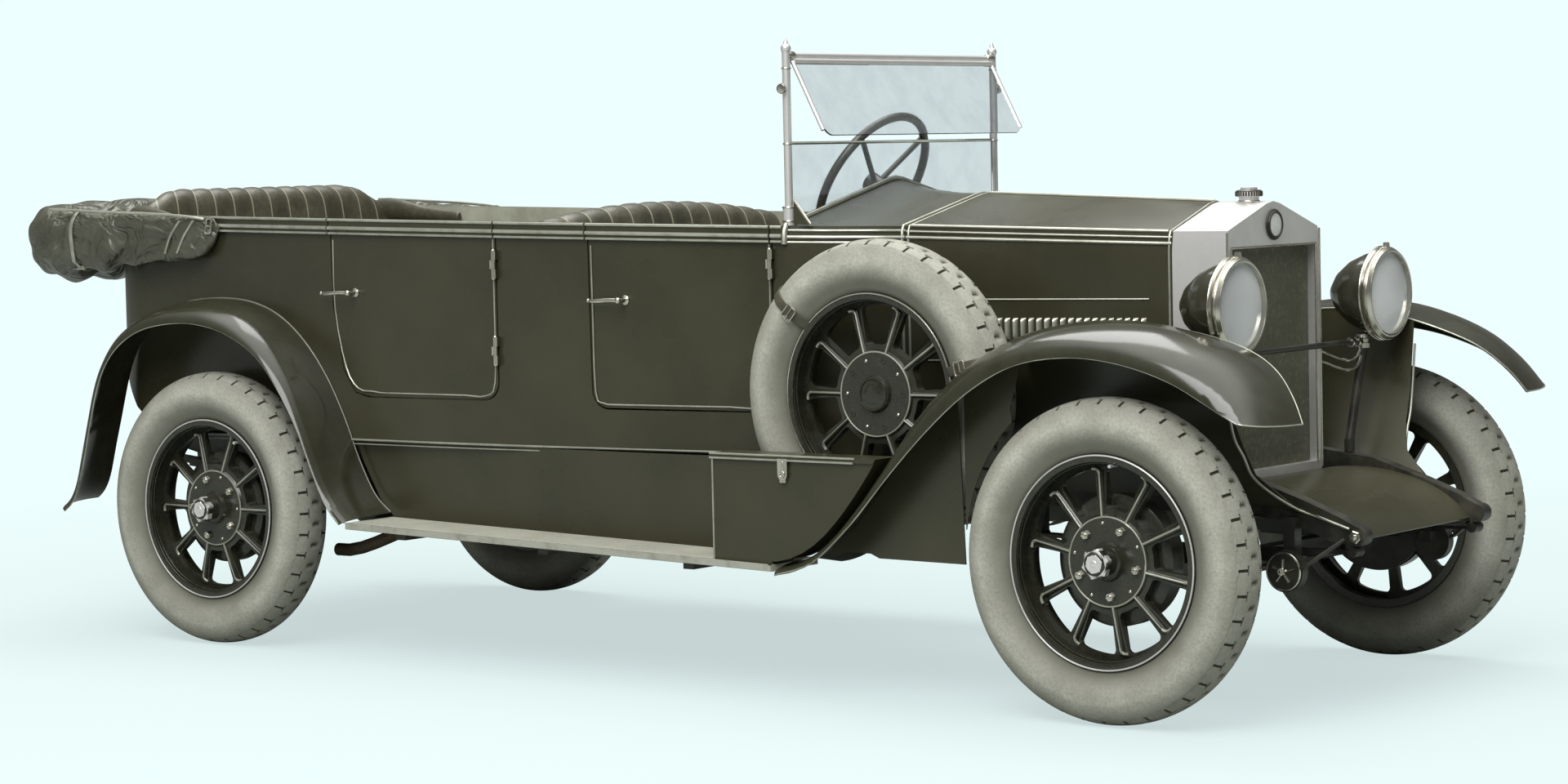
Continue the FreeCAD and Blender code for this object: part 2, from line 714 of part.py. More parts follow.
# scuttle, bonnet and radiator share one family of gabled sections
def gable(x, half, bottom, shoulder, peak, inset):
    half = half - inset
    peak = peak - inset
    shoulder = shoulder - inset * 0.6
    crown = 34.0
    drop = (peak - shoulder) * crown / half
    right = [point(x, -half, bottom), point(x, -half, shoulder - 48.0), point(x, -half + 8.0, shoulder),
             point(x, -crown, peak - drop * 0.6), point(x, 0, peak)]
    left = [point(x, -p.y, p.z) for p in reversed(right[:-1])]
    return polygon(right + left)


middle_x_section = body_front + 105.0
middle_half = 459.0
middle_shoulder = 1229.0
middle_peak = 1322.0
near_joint = joint_x - 85.0
belt_front = belt_z(body_front)
outer_walls = [
    gable(body_front + seat_clearance, body_half_front, body_bottom, belt_front, scuttle_peak, 0.0),
    gable(middle_x_section, middle_half, body_bottom, middle_shoulder, middle_peak, 0.0),
    gable(near_joint, bonnet_half + 16.0, body_bottom, shoulder_rear + 1.0, bonnet_peak_rear + 2.0, 0.0),
    gable(joint_x - seat_clearance, bonnet_half, body_bottom, shoulder_rear, bonnet_peak_rear, 0.0),
]
floor_top = body_bottom + floor_thickness
inner_walls = [
    gable(body_front - 1.0, body_half_front, floor_top, belt_front, scuttle_peak, body_wall),
    gable(middle_x_section, middle_half, floor_top, middle_shoulder, middle_peak, body_wall),
    gable(joint_x - 30.0, bonnet_half + 4.0, floor_top, shoulder_rear, bonnet_peak_rear, body_wall),
]
pieces["scuttle"] = loft(outer_walls).cut(loft(inner_walls))

bonnet_outer = [
    gable(joint_x, bonnet_half, bonnet_bottom, shoulder_rear, bonnet_peak_rear, 0.0),
    gable(radiator_rear - seat_clearance, bonnet_front_half, bonnet_bottom, shoulder_front,
          bonnet_peak_front, 0.0),
]
bonnet_inner = [
    gable(joint_x - 1.0, bonnet_half, bonnet_bottom - 50.0, shoulder_rear, bonnet_peak_rear, panel_wall),
    gable(radiator_rear, bonnet_front_half, bonnet_bottom - 50.0, shoulder_front, bonnet_peak_front, panel_wall),
]
bonnet = loft(bonnet_outer).cut(loft(bonnet_inner))
side_angle = math.degrees(math.atan2(bonnet_half - bonnet_front_half, radiator_rear - joint_x))
slots = []
for number in range(louvre_count):
    x = louvre_start + number * louvre_pitch
    y = along((x - joint_x) / (radiator_rear - joint_x), bonnet_half, bonnet_front_half)
    slot = box(-louvre_width / 2.0, louvre_width / 2.0, -30.0, 30.0, louvre_low, louvre_high)
    slot = moved(turned(slot, O, Z, side_angle), x, -y, 0)
    slots += both(slot)
pieces["bonnet"] = bonnet.cut(Part.makeCompound(slots))

# radiator: a gabled shell round its core, with neck and filler cap
shell_outer = loft([
    gable(radiator_rear, radiator_half, radiator_bottom, radiator_shoulder, radiator_peak, 0.0),
    gable(radiator_face, radiator_half, radiator_bottom, radiator_shoulder, radiator_peak, 0.0),
])
core_half = radiator_half - shell_rim
core_room = box(radiator_rear - 1.0, radiator_face + 1.0, -core_half, core_half,
                radiator_bottom + shell_rim, header_lower)
neck_foot = point(cap_x, 0, radiator_peak - 14.0)
radiator = shell_outer.cut(core_room).multiFuse([
    Part.makeCylinder(neck_radius, 30.0, neck_foot),
    Part.makeCylinder(filler_radius, 14.0, neck_foot.add(Z * 26.0)),
    Part.makeCylinder(filler_radius - 12.0, 12.0, neck_foot.add(Z * 38.0)),
    Part.makeCylinder(badge_radius, 6.0, point(radiator_face - 1.0, 0, badge_z), X),
])
pieces["radiator_shell"] = radiator.removeSplitter()
core_reach = core_half - seat_clearance
pieces["radiator_core"] = box(radiator_rear + 4.0, radiator_face - core_recess, -core_reach, core_reach,
                              radiator_bottom + shell_rim + seat_clearance, header_lower - seat_clearance)


# wings: thin skins through lines that run along the car
def lowered(line, depth):
    # the same line, moved to its lower side by depth
    result = []
    for number, (x, z) in enumerate(line):
        before = line[max(number - 1, 0)]
        after = line[min(number + 1, len(line) - 1)]
        size = math.hypot(after[0] - before[0], after[1] - before[1])
        result.append((x + (after[1] - before[1]) / size * depth, z - (after[0] - before[0]) / size * depth))
    return result


def skin(rows, back_rows):
    # a thin solid between two sheets, each given as rows of points side by side
    upper = len(rows)
    curves = [curve(row) for row in rows + list(reversed(back_rows))]
    faces = [Part.makeRuledSurface(first, second) for first, second in zip(curves, curves[1:] + curves[:1])]
    for end in (0, -1):
        ends = [line.Vertexes[end].Point for line in curves]
        for n in range(upper - 1):
            faces.append(Part.makeRuledSurface(Part.makeLine(ends[n], ends[n + 1]),
                                               Part.makeLine(ends[-1 - n], ends[-2 - n])))
    shell = Part.makeShell(faces)
    shell.sewShape()
    return outward(Part.makeSolid(shell))


def domed_row(ridge_y, outer_y, ridge, edge, angle):
    # one row of a wing whose section is a quarter of an ellipse from its ridge down to its edge
    up = math.cos(math.radians(angle))
    out = math.sin(math.radians(angle))
    return [point(e[0] + (r[0] - e[0]) * up, -ridge_y - (outer_y - ridge_y) * out, e[1] + (r[1] - e[1]) * up)
            for r, e in zip(ridge, edge)]


def domed_rows(ridge_y, outer_y, ridge, edge):
    return [domed_row(ridge_y, outer_y, ridge, edge, 15.0 * step) for step in range(7)]


def from_front_axle(line):
    return [(wheelbase + x, z) for x, z in line]


rear_crown = [(-640.0, 404.0), (-600.0, 440.0), (-560.0, 540.0), (-515.0, 680.0), (-450.0, 850.0), (-360.0, 950.0),
              (-231.0, 1009.0), (-84.0, 1027.0), (60.0, 1019.0), (180.0, 980.0), (285.0, 905.0), (375.0, 800.0),
              (445.0, 680.0), (500.0, 560.0), (560.0, 460.0), (620.0, 410.0)]
rear_edge = [(-608.0, 402.0), (-566.0, 438.0), (-527.0, 535.0), (-488.0, 668.0), (-440.0, 800.0), (-362.0, 900.0),
             (-235.0, 968.0), (-70.0, 993.0), (66.0, 984.0), (182.0, 950.0), (288.0, 890.0), (374.0, 796.0),
             (450.0, 682.0), (508.0, 560.0), (560.0, 462.0), (610.0, 410.0)]
rear_low = lowered(rear_edge, wing_lip)
rear_ridge_y = body_half_rear + seat_clearance
rear_wing = skin(domed_rows(rear_ridge_y, wing_outer, rear_crown, rear_low),
                 domed_rows(rear_ridge_y, wing_outer - wing_wall, lowered(rear_crown, wing_wall), rear_low))
pieces["rear_fenders"] = Part.makeCompound(both(rear_wing))

front_crown = from_front_axle([
    (-992.0, 358.0), (-892.0, 392.0), (-782.0, 484.0), (-672.0, 624.0), (-572.0, 762.0),
    (-472.0, 858.0), (-362.0, 926.0), (-232.0, 974.0), (-92.0, 994.0), (28.0, 994.0),
    (148.0, 978.0), (268.0, 940.0), (368.0, 885.0), (438.0, 815.0), (480.0, 750.0)])
front_edge = from_front_axle([
    (-992.0, 358.0), (-876.0, 394.0), (-756.0, 494.0), (-637.0, 620.0), (-518.0, 736.0),
    (-403.0, 830.0), (-291.0, 896.0), (-192.0, 930.0), (-72.0, 944.0), (28.0, 940.0),
    (138.0, 920.0), (248.0, 884.0), (338.0, 838.0), (398.0, 792.0), (438.0, 742.0)])
front_low = lowered(front_edge, wing_lip)
front_low[-2:] = [(x, z + rise) for (x, z), rise in zip(front_low[-2:], (12.0, 40.0))]


def front_taper(x):
    # the wing draws in from its inner side towards the front end
    return max(0.0, x - wheelbase - 200.0) / (front_crown[-1][0] - wheelbase - 200.0)


def shoulder_row(line):
    return [point(x, -wing_shoulder - (wing_ridge - wing_shoulder - 14.0) * front_taper(x) ** 2,
                  z - shoulder_drop * (1.0 - front_taper(x))) for x, z in line]


front_shoulder = shoulder_row(front_crown)
front_back = lowered(front_crown, wing_wall)
front_wing = skin([front_shoulder] + domed_rows(wing_ridge, wing_outer, front_crown, front_low),
                  [shoulder_row(front_back)] + domed_rows(wing_ridge, wing_outer - wing_wall, front_back, front_low))
well = Part.makeCylinder(tyre_radius + 6.0, tyre_width + 12.0,
                         point(spare_x, spare_y - tyre_width / 2.0 - 6.0, spare_z), Y)
pieces["front_fenders"] = Part.makeCompound([front_wing.cut(well), mirrored(front_wing)])

# inner panels from under the front wings down to the chassis rails; in front they sweep out along the dumb irons
panel_sheet = 3.0
panel_back = wheelbase - 472.0
panel_steps = 24
under_shoulder = lowered([(p.x, p.z) for p in curve(front_shoulder).discretize(80)], wing_wall + seat_clearance)


def line_z(line, x):
    for first, second in zip(line, line[1:]):
        if first[0] <= x <= second[0]:
            return along((x - first[0]) / (second[0] - first[0]), first[1], second[1])
    return line[-1][1]


def line_x(line, z):
    for first, second in zip(line, line[1:]):
        if first[1] <= z <= second[1]:
            return along((z - first[1]) / (second[1] - first[1]), first[0], second[0])
    return line[-1][0]


def panel_row(y, front_x, share):
    # share is how far down the row lies between the wing and the rail
    row = []
    for step in range(panel_steps + 1):
        x = along(step / panel_steps, panel_back, front_x)
        ahead = max(0.0, x - wheelbase - 48.0)
        low = rail_bottom + 40.0 - 0.00038 * ahead ** 2
        row.append(point(x, y, along(share, line_z(under_shoulder, x), low)))
    return row


panel_plan = [
    (-wing_shoulder - panel_sheet, wheelbase + 200.0, 0.0),
    (-wing_shoulder + 30.0, wheelbase + 203.0, 0.43),
    (-wing_shoulder + 70.0, wheelbase + 211.0, 0.63),
    (-wing_shoulder + 100.0, wheelbase + 228.0, 0.80),
    (-rail_outer - 22.0, wheelbase + 306.0, 0.94),
    (-rail_outer - seat_clearance - panel_sheet, wheelbase + 459.0, 1.0),
]
inner_panel = skin([panel_row(*row) for row in panel_plan],
                   [panel_row(y + panel_sheet, x, share) for y, x, share in panel_plan])
pieces["wing_valances"] = Part.makeCompound(both(inner_panel))

# skirts that hang under the wings' sweep, outside the spare wheel
skirt_y = spare_y - tyre_width / 2.0 - 13.0
skirt_angle = math.degrees(math.asin((panel_sheet - skirt_y - wing_ridge) / (wing_outer - wing_ridge)))
skirt_wing = domed_row(wing_ridge, wing_outer, front_crown, front_low, skirt_angle)
skirt_top = lowered([(p.x, p.z) for p in curve(skirt_wing).discretize(60)], wing_wall * 1.2 + seat_clearance)
skirt_back = wheelbase - 902.0
skirt_front = wheelbase - 452.0
skirt_low = [(skirt_front, 371.0), (wheelbase - 725.0, 373.0), (wheelbase - 752.0, 384.0),
             (wheelbase - 826.0, 385.0), (skirt_back, 372.0)]
skirt = side_profile([(x, z) for x, z in skirt_top if skirt_back < x < skirt_front and z > 390.0] + skirt_low,
                     skirt_y - panel_sheet, skirt_y)
pieces["wing_skirts"] = Part.makeCompound(both(skirt))

# running boards, falling a little to the front, and the panels between them and the body
board = side_profile([(board_rear_x, board_rear_z), (board_front_x, board_front_z),
                      (board_front_x, board_front_z - board_thickness),
                      (board_rear_x, board_rear_z - board_thickness)], -board_outer, -board_inner)
pieces["running_boards"] = Part.makeCompound(both(board))
splash_back = board_rear_x + 15.0
splash_front = body_front - 20.0
splash = side_profile([(splash_back, board_z(splash_back) + seat_clearance),
                       (splash_front, board_z(splash_front) + seat_clearance),
                       (splash_front, body_bottom - seat_clearance),
                       (splash_back - 147.0, body_bottom - seat_clearance),
                       (splash_back - 115.0, 545.0), (splash_back - 55.0, 445.0)],
                      -board_inner - 12.0, -board_inner - 8.0)
pieces["side_valances"] = Part.makeCompound(both(splash))

# tool boxes on the boards, wedge shaped where the wing sweeps up
box_back = wheelbase - 1200.0
box_step = board_front_x - 4.0
box_angle = math.degrees(math.asin((box_inner - wing_ridge) / (wing_outer - wing_ridge)))
box_wing = domed_row(wing_ridge, wing_outer, front_crown, front_low, box_angle)
box_front = lowered([(p.x, p.z) for p in curve(box_wing).discretize(40)], -5.0)
box_slope = [(x, z) for x, z in box_front if x > box_step + 4.0 and z < lid_z - lid_height - 6.0]
lid_front = line_x(box_front, lid_z - lid_height)
box_outline = [(box_back, board_z(box_back) + seat_clearance), (box_step, board_z(box_step) + seat_clearance),
               (box_step, box_slope[0][1])]
box_outline += box_slope + [(lid_front, lid_z - lid_height), (box_back, lid_z - lid_height)]
tool_box = side_profile(box_outline, -box_outer, -box_inner)
tool_lid = side_profile([(box_back - 6.0, lid_z - lid_height), (lid_front, lid_z - lid_height),
                         (line_x(box_front, lid_z), lid_z),
                         (box_back - 6.0, lid_z)], -box_outer - 6.0, -box_inner)
pieces["toolboxes"] = Part.makeCompound(both(fuse([tool_box, tool_lid])))

# apron between the dumb irons
apron_line = [(radiator_face + 2.0, 560.0), (iron_tip_x - 300.0, 562.0), (iron_tip_x - 180.0, 540.0),
              (iron_tip_x - 80.0, 496.0), (iron_tip_x - 18.0, 440.0)]
apron_top = curve([point(x, 0, z) for x, z in apron_line])
apron_low = curve([point(x, 0, z) for x, z in lowered(apron_line, 5.0)])
apron_ends = [Part.makeLine(apron_top.Vertexes[n].Point, apron_low.Vertexes[n].Point) for n in (0, -1)]
apron_face = Part.Face(Part.Wire(Part.__sortEdges__([apron_top, apron_low] + apron_ends)))
apron_half = rail_inner - seat_clearance
pieces["front_apron"] = moved(apron_face, 0, -apron_half, 0).extrude(point(0, 2.0 * apron_half, 0))

# friction dampers beside the front springs, each with its arm on the rail
parts = []
for side in (-1, 1):
    y_disc = side * (damper_out - damper_thickness)
    y_rail = side * (rail_outer + seat_clearance)
    disc = rod(point(damper_x, y_disc, damper_z), point(damper_x, side * damper_out, damper_z), damper_radius)
    arm = box(damper_x - 16.0, damper_x + 16.0, min(y_rail, y_disc + side), max(y_rail, y_disc + side),
              damper_z, rail_bottom + 3.3)
    parts.append(disc.fuse(arm))
pieces["friction_dampers"] = Part.makeCompound(parts)


# headlamps: deep bowls with a double rim, lenses, brackets and a tie bar
def lamp_bowl(y):
    rim = lamp_radius
    profile = [(0.0, -lamp_depth), (28.0, -lamp_depth + 6.0),
               (60.0, -lamp_depth + 30.0), (88.0, -lamp_depth + 66.0),
               (106.0, -lamp_depth + 108.0), (113.0, -28.0), (rim, -26.0), (rim, -14.0), (rim - 6.0, -12.0),
               (rim - 2.0, -2.0), (rim - 8.0, 6.0), (rim - 16.0, 6.0), (rim - 16.0, -16.0), (100.0, -36.0),
               (84.0, -90.0), (0.0, -128.0)]
    wire = polygon([point(lamp_x + x, y, lamp_z + r) for r, x in profile])
    return Part.Face(wire).revolve(point(lamp_x, y, lamp_z), X, 360)


def lamp_glass(y):
    r = lamp_radius - 16.0 - seat_clearance
    rise = 12.0
    ball = (r * r + rise * rise) / (2.0 * rise)
    disc = Part.makeCylinder(r, 17.0, point(lamp_x - 10.0, y, lamp_z), X)
    return disc.common(Part.makeSphere(ball, point(lamp_x + 7.0 - ball, y, lamp_z)))


pieces["headlamp_shells"] = Part.makeCompound([lamp_bowl(-lamp_y), lamp_bowl(lamp_y)])
pieces["headlamp_lenses"] = Part.makeCompound([lamp_glass(-lamp_y), lamp_glass(lamp_y)])
bracket_x = lamp_x - 80.0
foot_x = wheelbase + 98.0
parts = [rod(point(bracket_x, -lamp_y, tie_bar_z), point(bracket_x, lamp_y, tie_bar_z), 8.0)]
for side in (-1, 1):
    y = side * lamp_y
    foot = point(foot_x, side * rail_y, rail_top - 12.2)
    parts.append(rod(point(bracket_x, y, tie_bar_z - 24.0), point(bracket_x, y, lamp_z - 105.1), 15.0))
    parts.append(rod(point(bracket_x, y, tie_bar_z - 10.0), foot.add(Z * 30.0), 12.0))
    parts.append(rod(foot, foot.add(Z * 34.0), 14.0))
pieces["lamp_brackets"] = fuse(parts)

# windscreen: two posts with finials, a top rail, fixed lower glass and a hinged upper one
rail_z = post_top_z - 12.0
parts = [rod(point(screen_x, -screen_half, rail_z), point(screen_x, screen_half, rail_z), top_rail_radius)]
for side in (-1, 1):
    y = side * screen_half
    foot = point(screen_x, y, belt_z(screen_x) + post_seat)
    parts.append(Part.makeCylinder(post_radius + 6.0, 50.0, foot))
    parts.append(Part.makeCylinder(post_radius, post_top_z - foot.z, foot))
    parts.append(Part.makeSphere(14.0, point(screen_x, y, post_top_z + 8.0)))
    parts.append(Part.makeCone(9.0, 2.0, 20.0, point(screen_x, y, post_top_z + 16.0)))
hinge = point(screen_x, 0, rail_z)
visor_arm_y = screen_half - post_radius - visor_arm_radius - 1.0
bar_z = rail_z - 2.0 * top_rail_radius + 1.0
visor_low = rail_z - visor_length
visor_frame = [rod(point(screen_x, -visor_arm_y, bar_z), point(screen_x, visor_arm_y, bar_z), top_rail_radius)]
for side in (-1, 1):
    visor_frame.append(rod(point(screen_x, side * visor_arm_y, bar_z),
                           point(screen_x, side * visor_arm_y, visor_low + 16.0), visor_arm_radius))
parts.append(turned(fuse(visor_frame), hinge, Y, -visor_angle))
lifted_scuttle = moved(loft(outer_walls), 0, 0, seat_clearance)
pieces["windscreen_frame"] = fuse(parts).cut(lifted_scuttle)
glass_half = screen_half - post_radius - seat_clearance
pane = box(screen_x - glass_thickness / 2.0, screen_x + glass_thickness / 2.0, -glass_half, glass_half, 1150.0,
           lower_glass_top)
pane = pane.cut(lifted_scuttle)
for side in (-1, 1):
    foot = point(screen_x, side * screen_half, 1180.0)
    socket = Part.makeCylinder(post_radius + 6.0 + seat_clearance, 200.0, foot)
    socket_top = belt_z(screen_x) + post_seat + 50.3
    pane = pane.cut(socket.common(box(screen_x - 100.0, screen_x + 100.0, -600, 600, 1180.0, socket_top)))
pieces["windscreen_glass"] = pane
visor_half = visor_arm_y - visor_arm_radius - seat_clearance
visor = box(screen_x - glass_thickness / 2.0, screen_x + glass_thickness / 2.0, -visor_half, visor_half, visor_low,
            bar_z - top_rail_radius - seat_clearance)
low_corners = [edge for edge in visor.Edges
               if edge.BoundBox.ZMax < visor_low + 1.0 and edge.BoundBox.YLength < 1.0]
visor = visor.makeFillet(visor_corner, low_corners)
pieces["windscreen_visor"] = turned(visor, hinge, Y, -visor_angle)

# steering column and wheel on the left
lean = math.radians(column_lean)
axis = point(-math.cos(lean), 0, math.sin(lean))
hub = column_hub
column_length = (joint_x + column_past_scuttle - hub.x) / math.cos(lean)
foot = hub.sub(axis * column_length)
pieces["steering_column"] = fuse([rod(foot, hub.sub(axis * 40.3), 19.0),
                                  rod(hub.sub(axis * 41.0), hub.sub(axis * 5.0), 9.0)])
pieces["scuttle"] = pieces["scuttle"].cut(rod(foot.sub(axis * 5.0), hub, 19.0 + seat_clearance))
parts = [Part.makeTorus(steering_radius, steering_rim, hub, axis),
         rod(hub.sub(axis * 40.0), hub.add(axis * 12.0), 30.0)]
upward = axis.cross(Y)
for number in range(4):
    angle = math.radians(45.0 + 90.0 * number)
    way = Y * math.cos(angle) + upward * math.sin(angle)
    parts.append(rod(hub.sub(axis * 12.0), hub.add(way * (steering_radius - 4.0)), 8.0))
wheel_shape = parts[0].multiFuse(parts[1:])
pieces["steering_wheel"] = wheel_shape.cut(rod(hub.sub(axis * 60.0), hub.sub(axis * 4.7), 9.0 + pin_clearance))


# seats: bench cushions and backs
def bench(x_back, half, cushion_top, back_top, cushion_front, flat_half, fall):
    # the top of the back is level up to flat_half from the middle, then falls in an arc to the ends
    low = floor_top + seat_clearance
    back = side_profile([(x_back - 95.0, low), (x_back + 70.0, low), (x_back + 10.0, back_top - 20.0),
                         (x_back - 20.0, back_top), (x_back - 80.0, back_top), (x_back - 120.0, back_top - 40.0)],
                        -half, half)
    cushion = side_profile([(x_back + 40.0, low), (cushion_front, low), (cushion_front + 12.0, cushion_top - 40.0),
                            (cushion_front - 20.0, cushion_top), (x_back + 40.0, cushion_top - 30.0)], -half, half)
    reach = half - flat_half
    radius = (reach ** 2 + fall ** 2) / (2.0 * fall)
    between = radius - math.sqrt(radius ** 2 - (reach / 2.0) ** 2)
    ends = []
    for side in (-1, 1):
        arc = Part.Arc(point(-900.0, side * flat_half, back_top),
                       point(-900.0, side * (flat_half + reach / 2.0), back_top - between),
                       point(-900.0, side * half, back_top - fall))
        ends.append(arc.toShape())
    corners = [point(-900.0, -half, back_top - fall), point(-900.0, -half, low), point(-900.0, half, low),
               point(-900.0, half, back_top - fall)]
    lines = [Part.makeLine(start, end) for start, end in zip(corners, corners[1:])]
    if flat_half:
        lines.append(Part.makeLine(point(-900.0, -flat_half, back_top), point(-900.0, flat_half, back_top)))
    crown = Part.Face(Part.Wire(Part.__sortEdges__(ends + lines))).extrude(point(3000.0, 0, 0))
    return fuse([back, cushion]).common(crown)


cabin_half = body_half(front_door_front) - body_wall - 4.0
pieces["front_seat"] = bench(front_seat_back_x, cabin_half, 960.0, 1301.0, 1700.0, 0.0, 30.0)
rear_bench_half = body_half_rear - body_wall - 6.0
rear_seat = bench(rear_seat_back_x, rear_bench_half, 990.0, 1364.0, 250.0, rear_bench_half - 200.0, 84.0)
cabin_room = plan_block(body_wall + 6.0, body_front).common(tail_profile(body_wall + 0.1).multiFuse([
    box(-900.0, 900.0, -900.0, 900.0, 1300.0, 1500.0)]))
pieces["rear_seat"] = rear_seat.common(cabin_room)


# the folded hood in its bag, a bundle that wraps round the tail of the body
def hood_section(centre, way, width, height):
    across_way = point(-way.y, way.x, 0)
    ring = []
    for number in range(12):
        angle = 2.0 * math.pi * number / 12
        aside = across_way * (width / 2.0 * math.cos(angle))
        ring.append(centre.add(aside).add(Z * (height / 2.0 * math.sin(angle))))
    return polygon(ring)


bag_side = body_half_rear + belt_out
hood_stations = [
    (point(-45.0, -bag_side - 4.4, 1240.0), point(-1, 0, 0), 8.0, 16.0),
    (point(-75.0, -bag_side - 13.4, 1225.0), point(-1, 0, 0), 26.0, 110.0),
    (point(-150.0, -bag_side - 25.0, 1209.0), point(-1, 0, 0), 48.0, 147.0),
    (point(-450.0, -bag_side - 45.0, 1208.0), point(-1, 0, 0), 86.0, 180.0),
    (point(-690.0, -bag_side - 43.0, 1202.0), point(-1, 0.1, 0), 112.0, 212.0),
    (point(-800.0, -bag_side + 25.0, 1206.0), point(-0.7, 0.7, 0), 190.0, 240.0),
    (point(-806.0, -440.0, 1200.0), point(0, 1, 0), 216.0, 262.0),
    (point(-806.0, -220.0, 1200.0), point(0, 1, 0), 216.0, 270.0),
]
rings = [hood_section(*station) for station in hood_stations]
rings += [hood_section(point(c.x, -c.y, c.z), point(-w.x, w.y, 0), a, b) for c, w, a, b in reversed(hood_stations)]
pieces["hood_bag"] = loft(rings)

os.makedirs("parts", exist_ok=True)
for name, shape in pieces.items():
    shape = moved(shape, -middle_x, 0, 0)
    if not shape.isValid():
        print("not valid:", name)
    bad = [solid for solid in shape.Solids if solid.Volume <= 0]
    if bad or not shape.Solids:
        print("no volume:", name)
    shape.exportStep("parts/" + name + ".step")
    size = shape.BoundBox
    print("%-20s %d solids  x %.0f..%.0f y %.0f..%.0f z %.0f..%.0f" % (
        name, len(shape.Solids), size.XMin, size.XMax, size.YMin, size.YMax, size.ZMin, size.ZMax))
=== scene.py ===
import bpy
import json
import math
from mathutils import Matrix, Vector, noise
from mathutils.bvhtree import BVHTree


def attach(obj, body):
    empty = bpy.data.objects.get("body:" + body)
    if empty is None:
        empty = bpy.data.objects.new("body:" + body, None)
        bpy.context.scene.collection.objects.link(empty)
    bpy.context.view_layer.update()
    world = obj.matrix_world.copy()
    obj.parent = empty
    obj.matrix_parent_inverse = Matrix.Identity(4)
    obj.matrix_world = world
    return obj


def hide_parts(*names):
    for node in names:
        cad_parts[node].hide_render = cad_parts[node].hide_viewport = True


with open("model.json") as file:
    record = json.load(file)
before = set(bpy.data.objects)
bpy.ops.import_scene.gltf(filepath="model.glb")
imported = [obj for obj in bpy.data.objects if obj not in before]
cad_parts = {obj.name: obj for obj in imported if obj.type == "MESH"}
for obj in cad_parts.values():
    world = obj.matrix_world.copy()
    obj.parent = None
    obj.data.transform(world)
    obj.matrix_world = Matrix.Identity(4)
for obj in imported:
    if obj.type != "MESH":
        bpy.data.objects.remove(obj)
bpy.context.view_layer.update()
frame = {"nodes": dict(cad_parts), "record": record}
cadNodes = frame["nodes"]
print("frame loaded,", len(cadNodes), "nodes")

# lengths below are metres forward of the rear axle, to the car's left, and above the ground;
# at() moves such a place into the frame, whose origin is under the middle of the car
middleX = 1.357


def at(x, y, z):
    return Vector((x - middleX, y, z))


# the car's main sizes, as its CAD has them
coach = {"bodyRear": -0.62, "tailRadius": 0.22, "halfRear": 0.622, "halfFront": 0.515, "taperStart": 0.4,
         "bodyFront": 2.0, "beltRear": 1.285, "beltFront": 1.232, "beltOut": 0.009, "wall": 0.036,
         "jointX": 2.31, "bonnetHalf": 0.385, "bonnetFrontHalf": 0.236, "radiatorRear": 3.05,
         "wheelbase": 3.152, "track": 1.423, "tyreRadius": 0.406}


def bodyHalf(x):
    # half the body's width: straight along the rear doors, then drawn in towards the windscreen
    share = max(0.0, x - coach["taperStart"]) / (coach["bodyFront"] - coach["taperStart"])
    return coach["halfRear"] - (coach["halfRear"] - coach["halfFront"]) * share ** 2


def beltZ(x):
    # top of the body's rail
    share = (x - coach["bodyRear"]) / (coach["bodyFront"] - coach["bodyRear"])
    return coach["beltRear"] + (coach["beltFront"] - coach["beltRear"]) * share


# camera at the photograph's place, from the wheels' and radiator's outlines
cameraView = {"place": (7.915, -8.187, 1.419), "yaw": 37.285, "pitch": 2.9157, "roll": -1.2125,
              "focalPixels": 4409.49, "centrePixels": (988.62, 415.28), "imagePixels": (1920, 960),
              "sensorMillimetres": 36.0}


def makeCamera(view):
    yaw, pitch, roll = (math.radians(view[key]) for key in ("yaw", "pitch", "roll"))
    ahead = Vector((-math.sin(yaw) * math.cos(pitch), math.cos(yaw) * math.cos(pitch), -math.sin(pitch)))
    right = ahead.cross(Vector((0, 0, 1))).normalized()
    up = right.cross(ahead)
    right, up = (right * math.cos(roll) + up * math.sin(roll), up * math.cos(roll) - right * math.sin(roll))
    data = bpy.data.cameras.new("camera")
    width, height = view["imagePixels"]
    data.sensor_width = view["sensorMillimetres"]
    data.lens = view["focalPixels"] * data.sensor_width / width
    data.shift_x = (width / 2 - view["centrePixels"][0]) / width
    data.shift_y = (view["centrePixels"][1] - height / 2) / width
    camera = bpy.data.objects.new("camera", data)
    bpy.context.scene.collection.objects.link(camera)
    turn = Matrix((right, up, -ahead)).transposed().to_4x4()
    camera.matrix_world = Matrix.Translation(at(*view["place"])) @ turn
    bpy.context.scene.camera = camera


makeCamera(cameraView)
print("camera placed")


# materials
def hexColour(code):
    # sRGB hex to linear light
    parts = [int(code[start:start + 2], 16) / 255 for start in (1, 3, 5)]
    return [p / 12.92 if p <= 0.04045 else ((p + 0.055) / 1.055) ** 2.4 for p in parts] + [1.0]


def addNode(tree, kind, settings=None, links=None):
    # settings name a socket or a property, links name an input socket
    node = tree.nodes.new(kind)
    for key, value in (settings or {}).items():
        if isinstance(key, int) or key in node.inputs:
            node.inputs[key].default_value = value
        else:
            setattr(node, key, value)
    for key, source in (links or {}).items():
        tree.links.new(source, node.inputs[key])
    return node


def perMetre(millimetres):
    # texture scale that gives a pattern of that size
    return 1000.0 / millimetres


def patches(millimetres, low, high, detail=4.0, stretch=None):
    # the nodes of a soft mask from 0 to 1, with patches of that size, longer where the stretch is below 1
    steps = [("ShaderNodeMapping", {"Scale": stretch})] if stretch else []
    return steps + [("ShaderNodeTexNoise", {"Scale": perMetre(millimetres), "Detail": detail,
                                            "Roughness": 0.6}),
                    ("ShaderNodeMapRange", {"From Min": low, "From Max": high})]


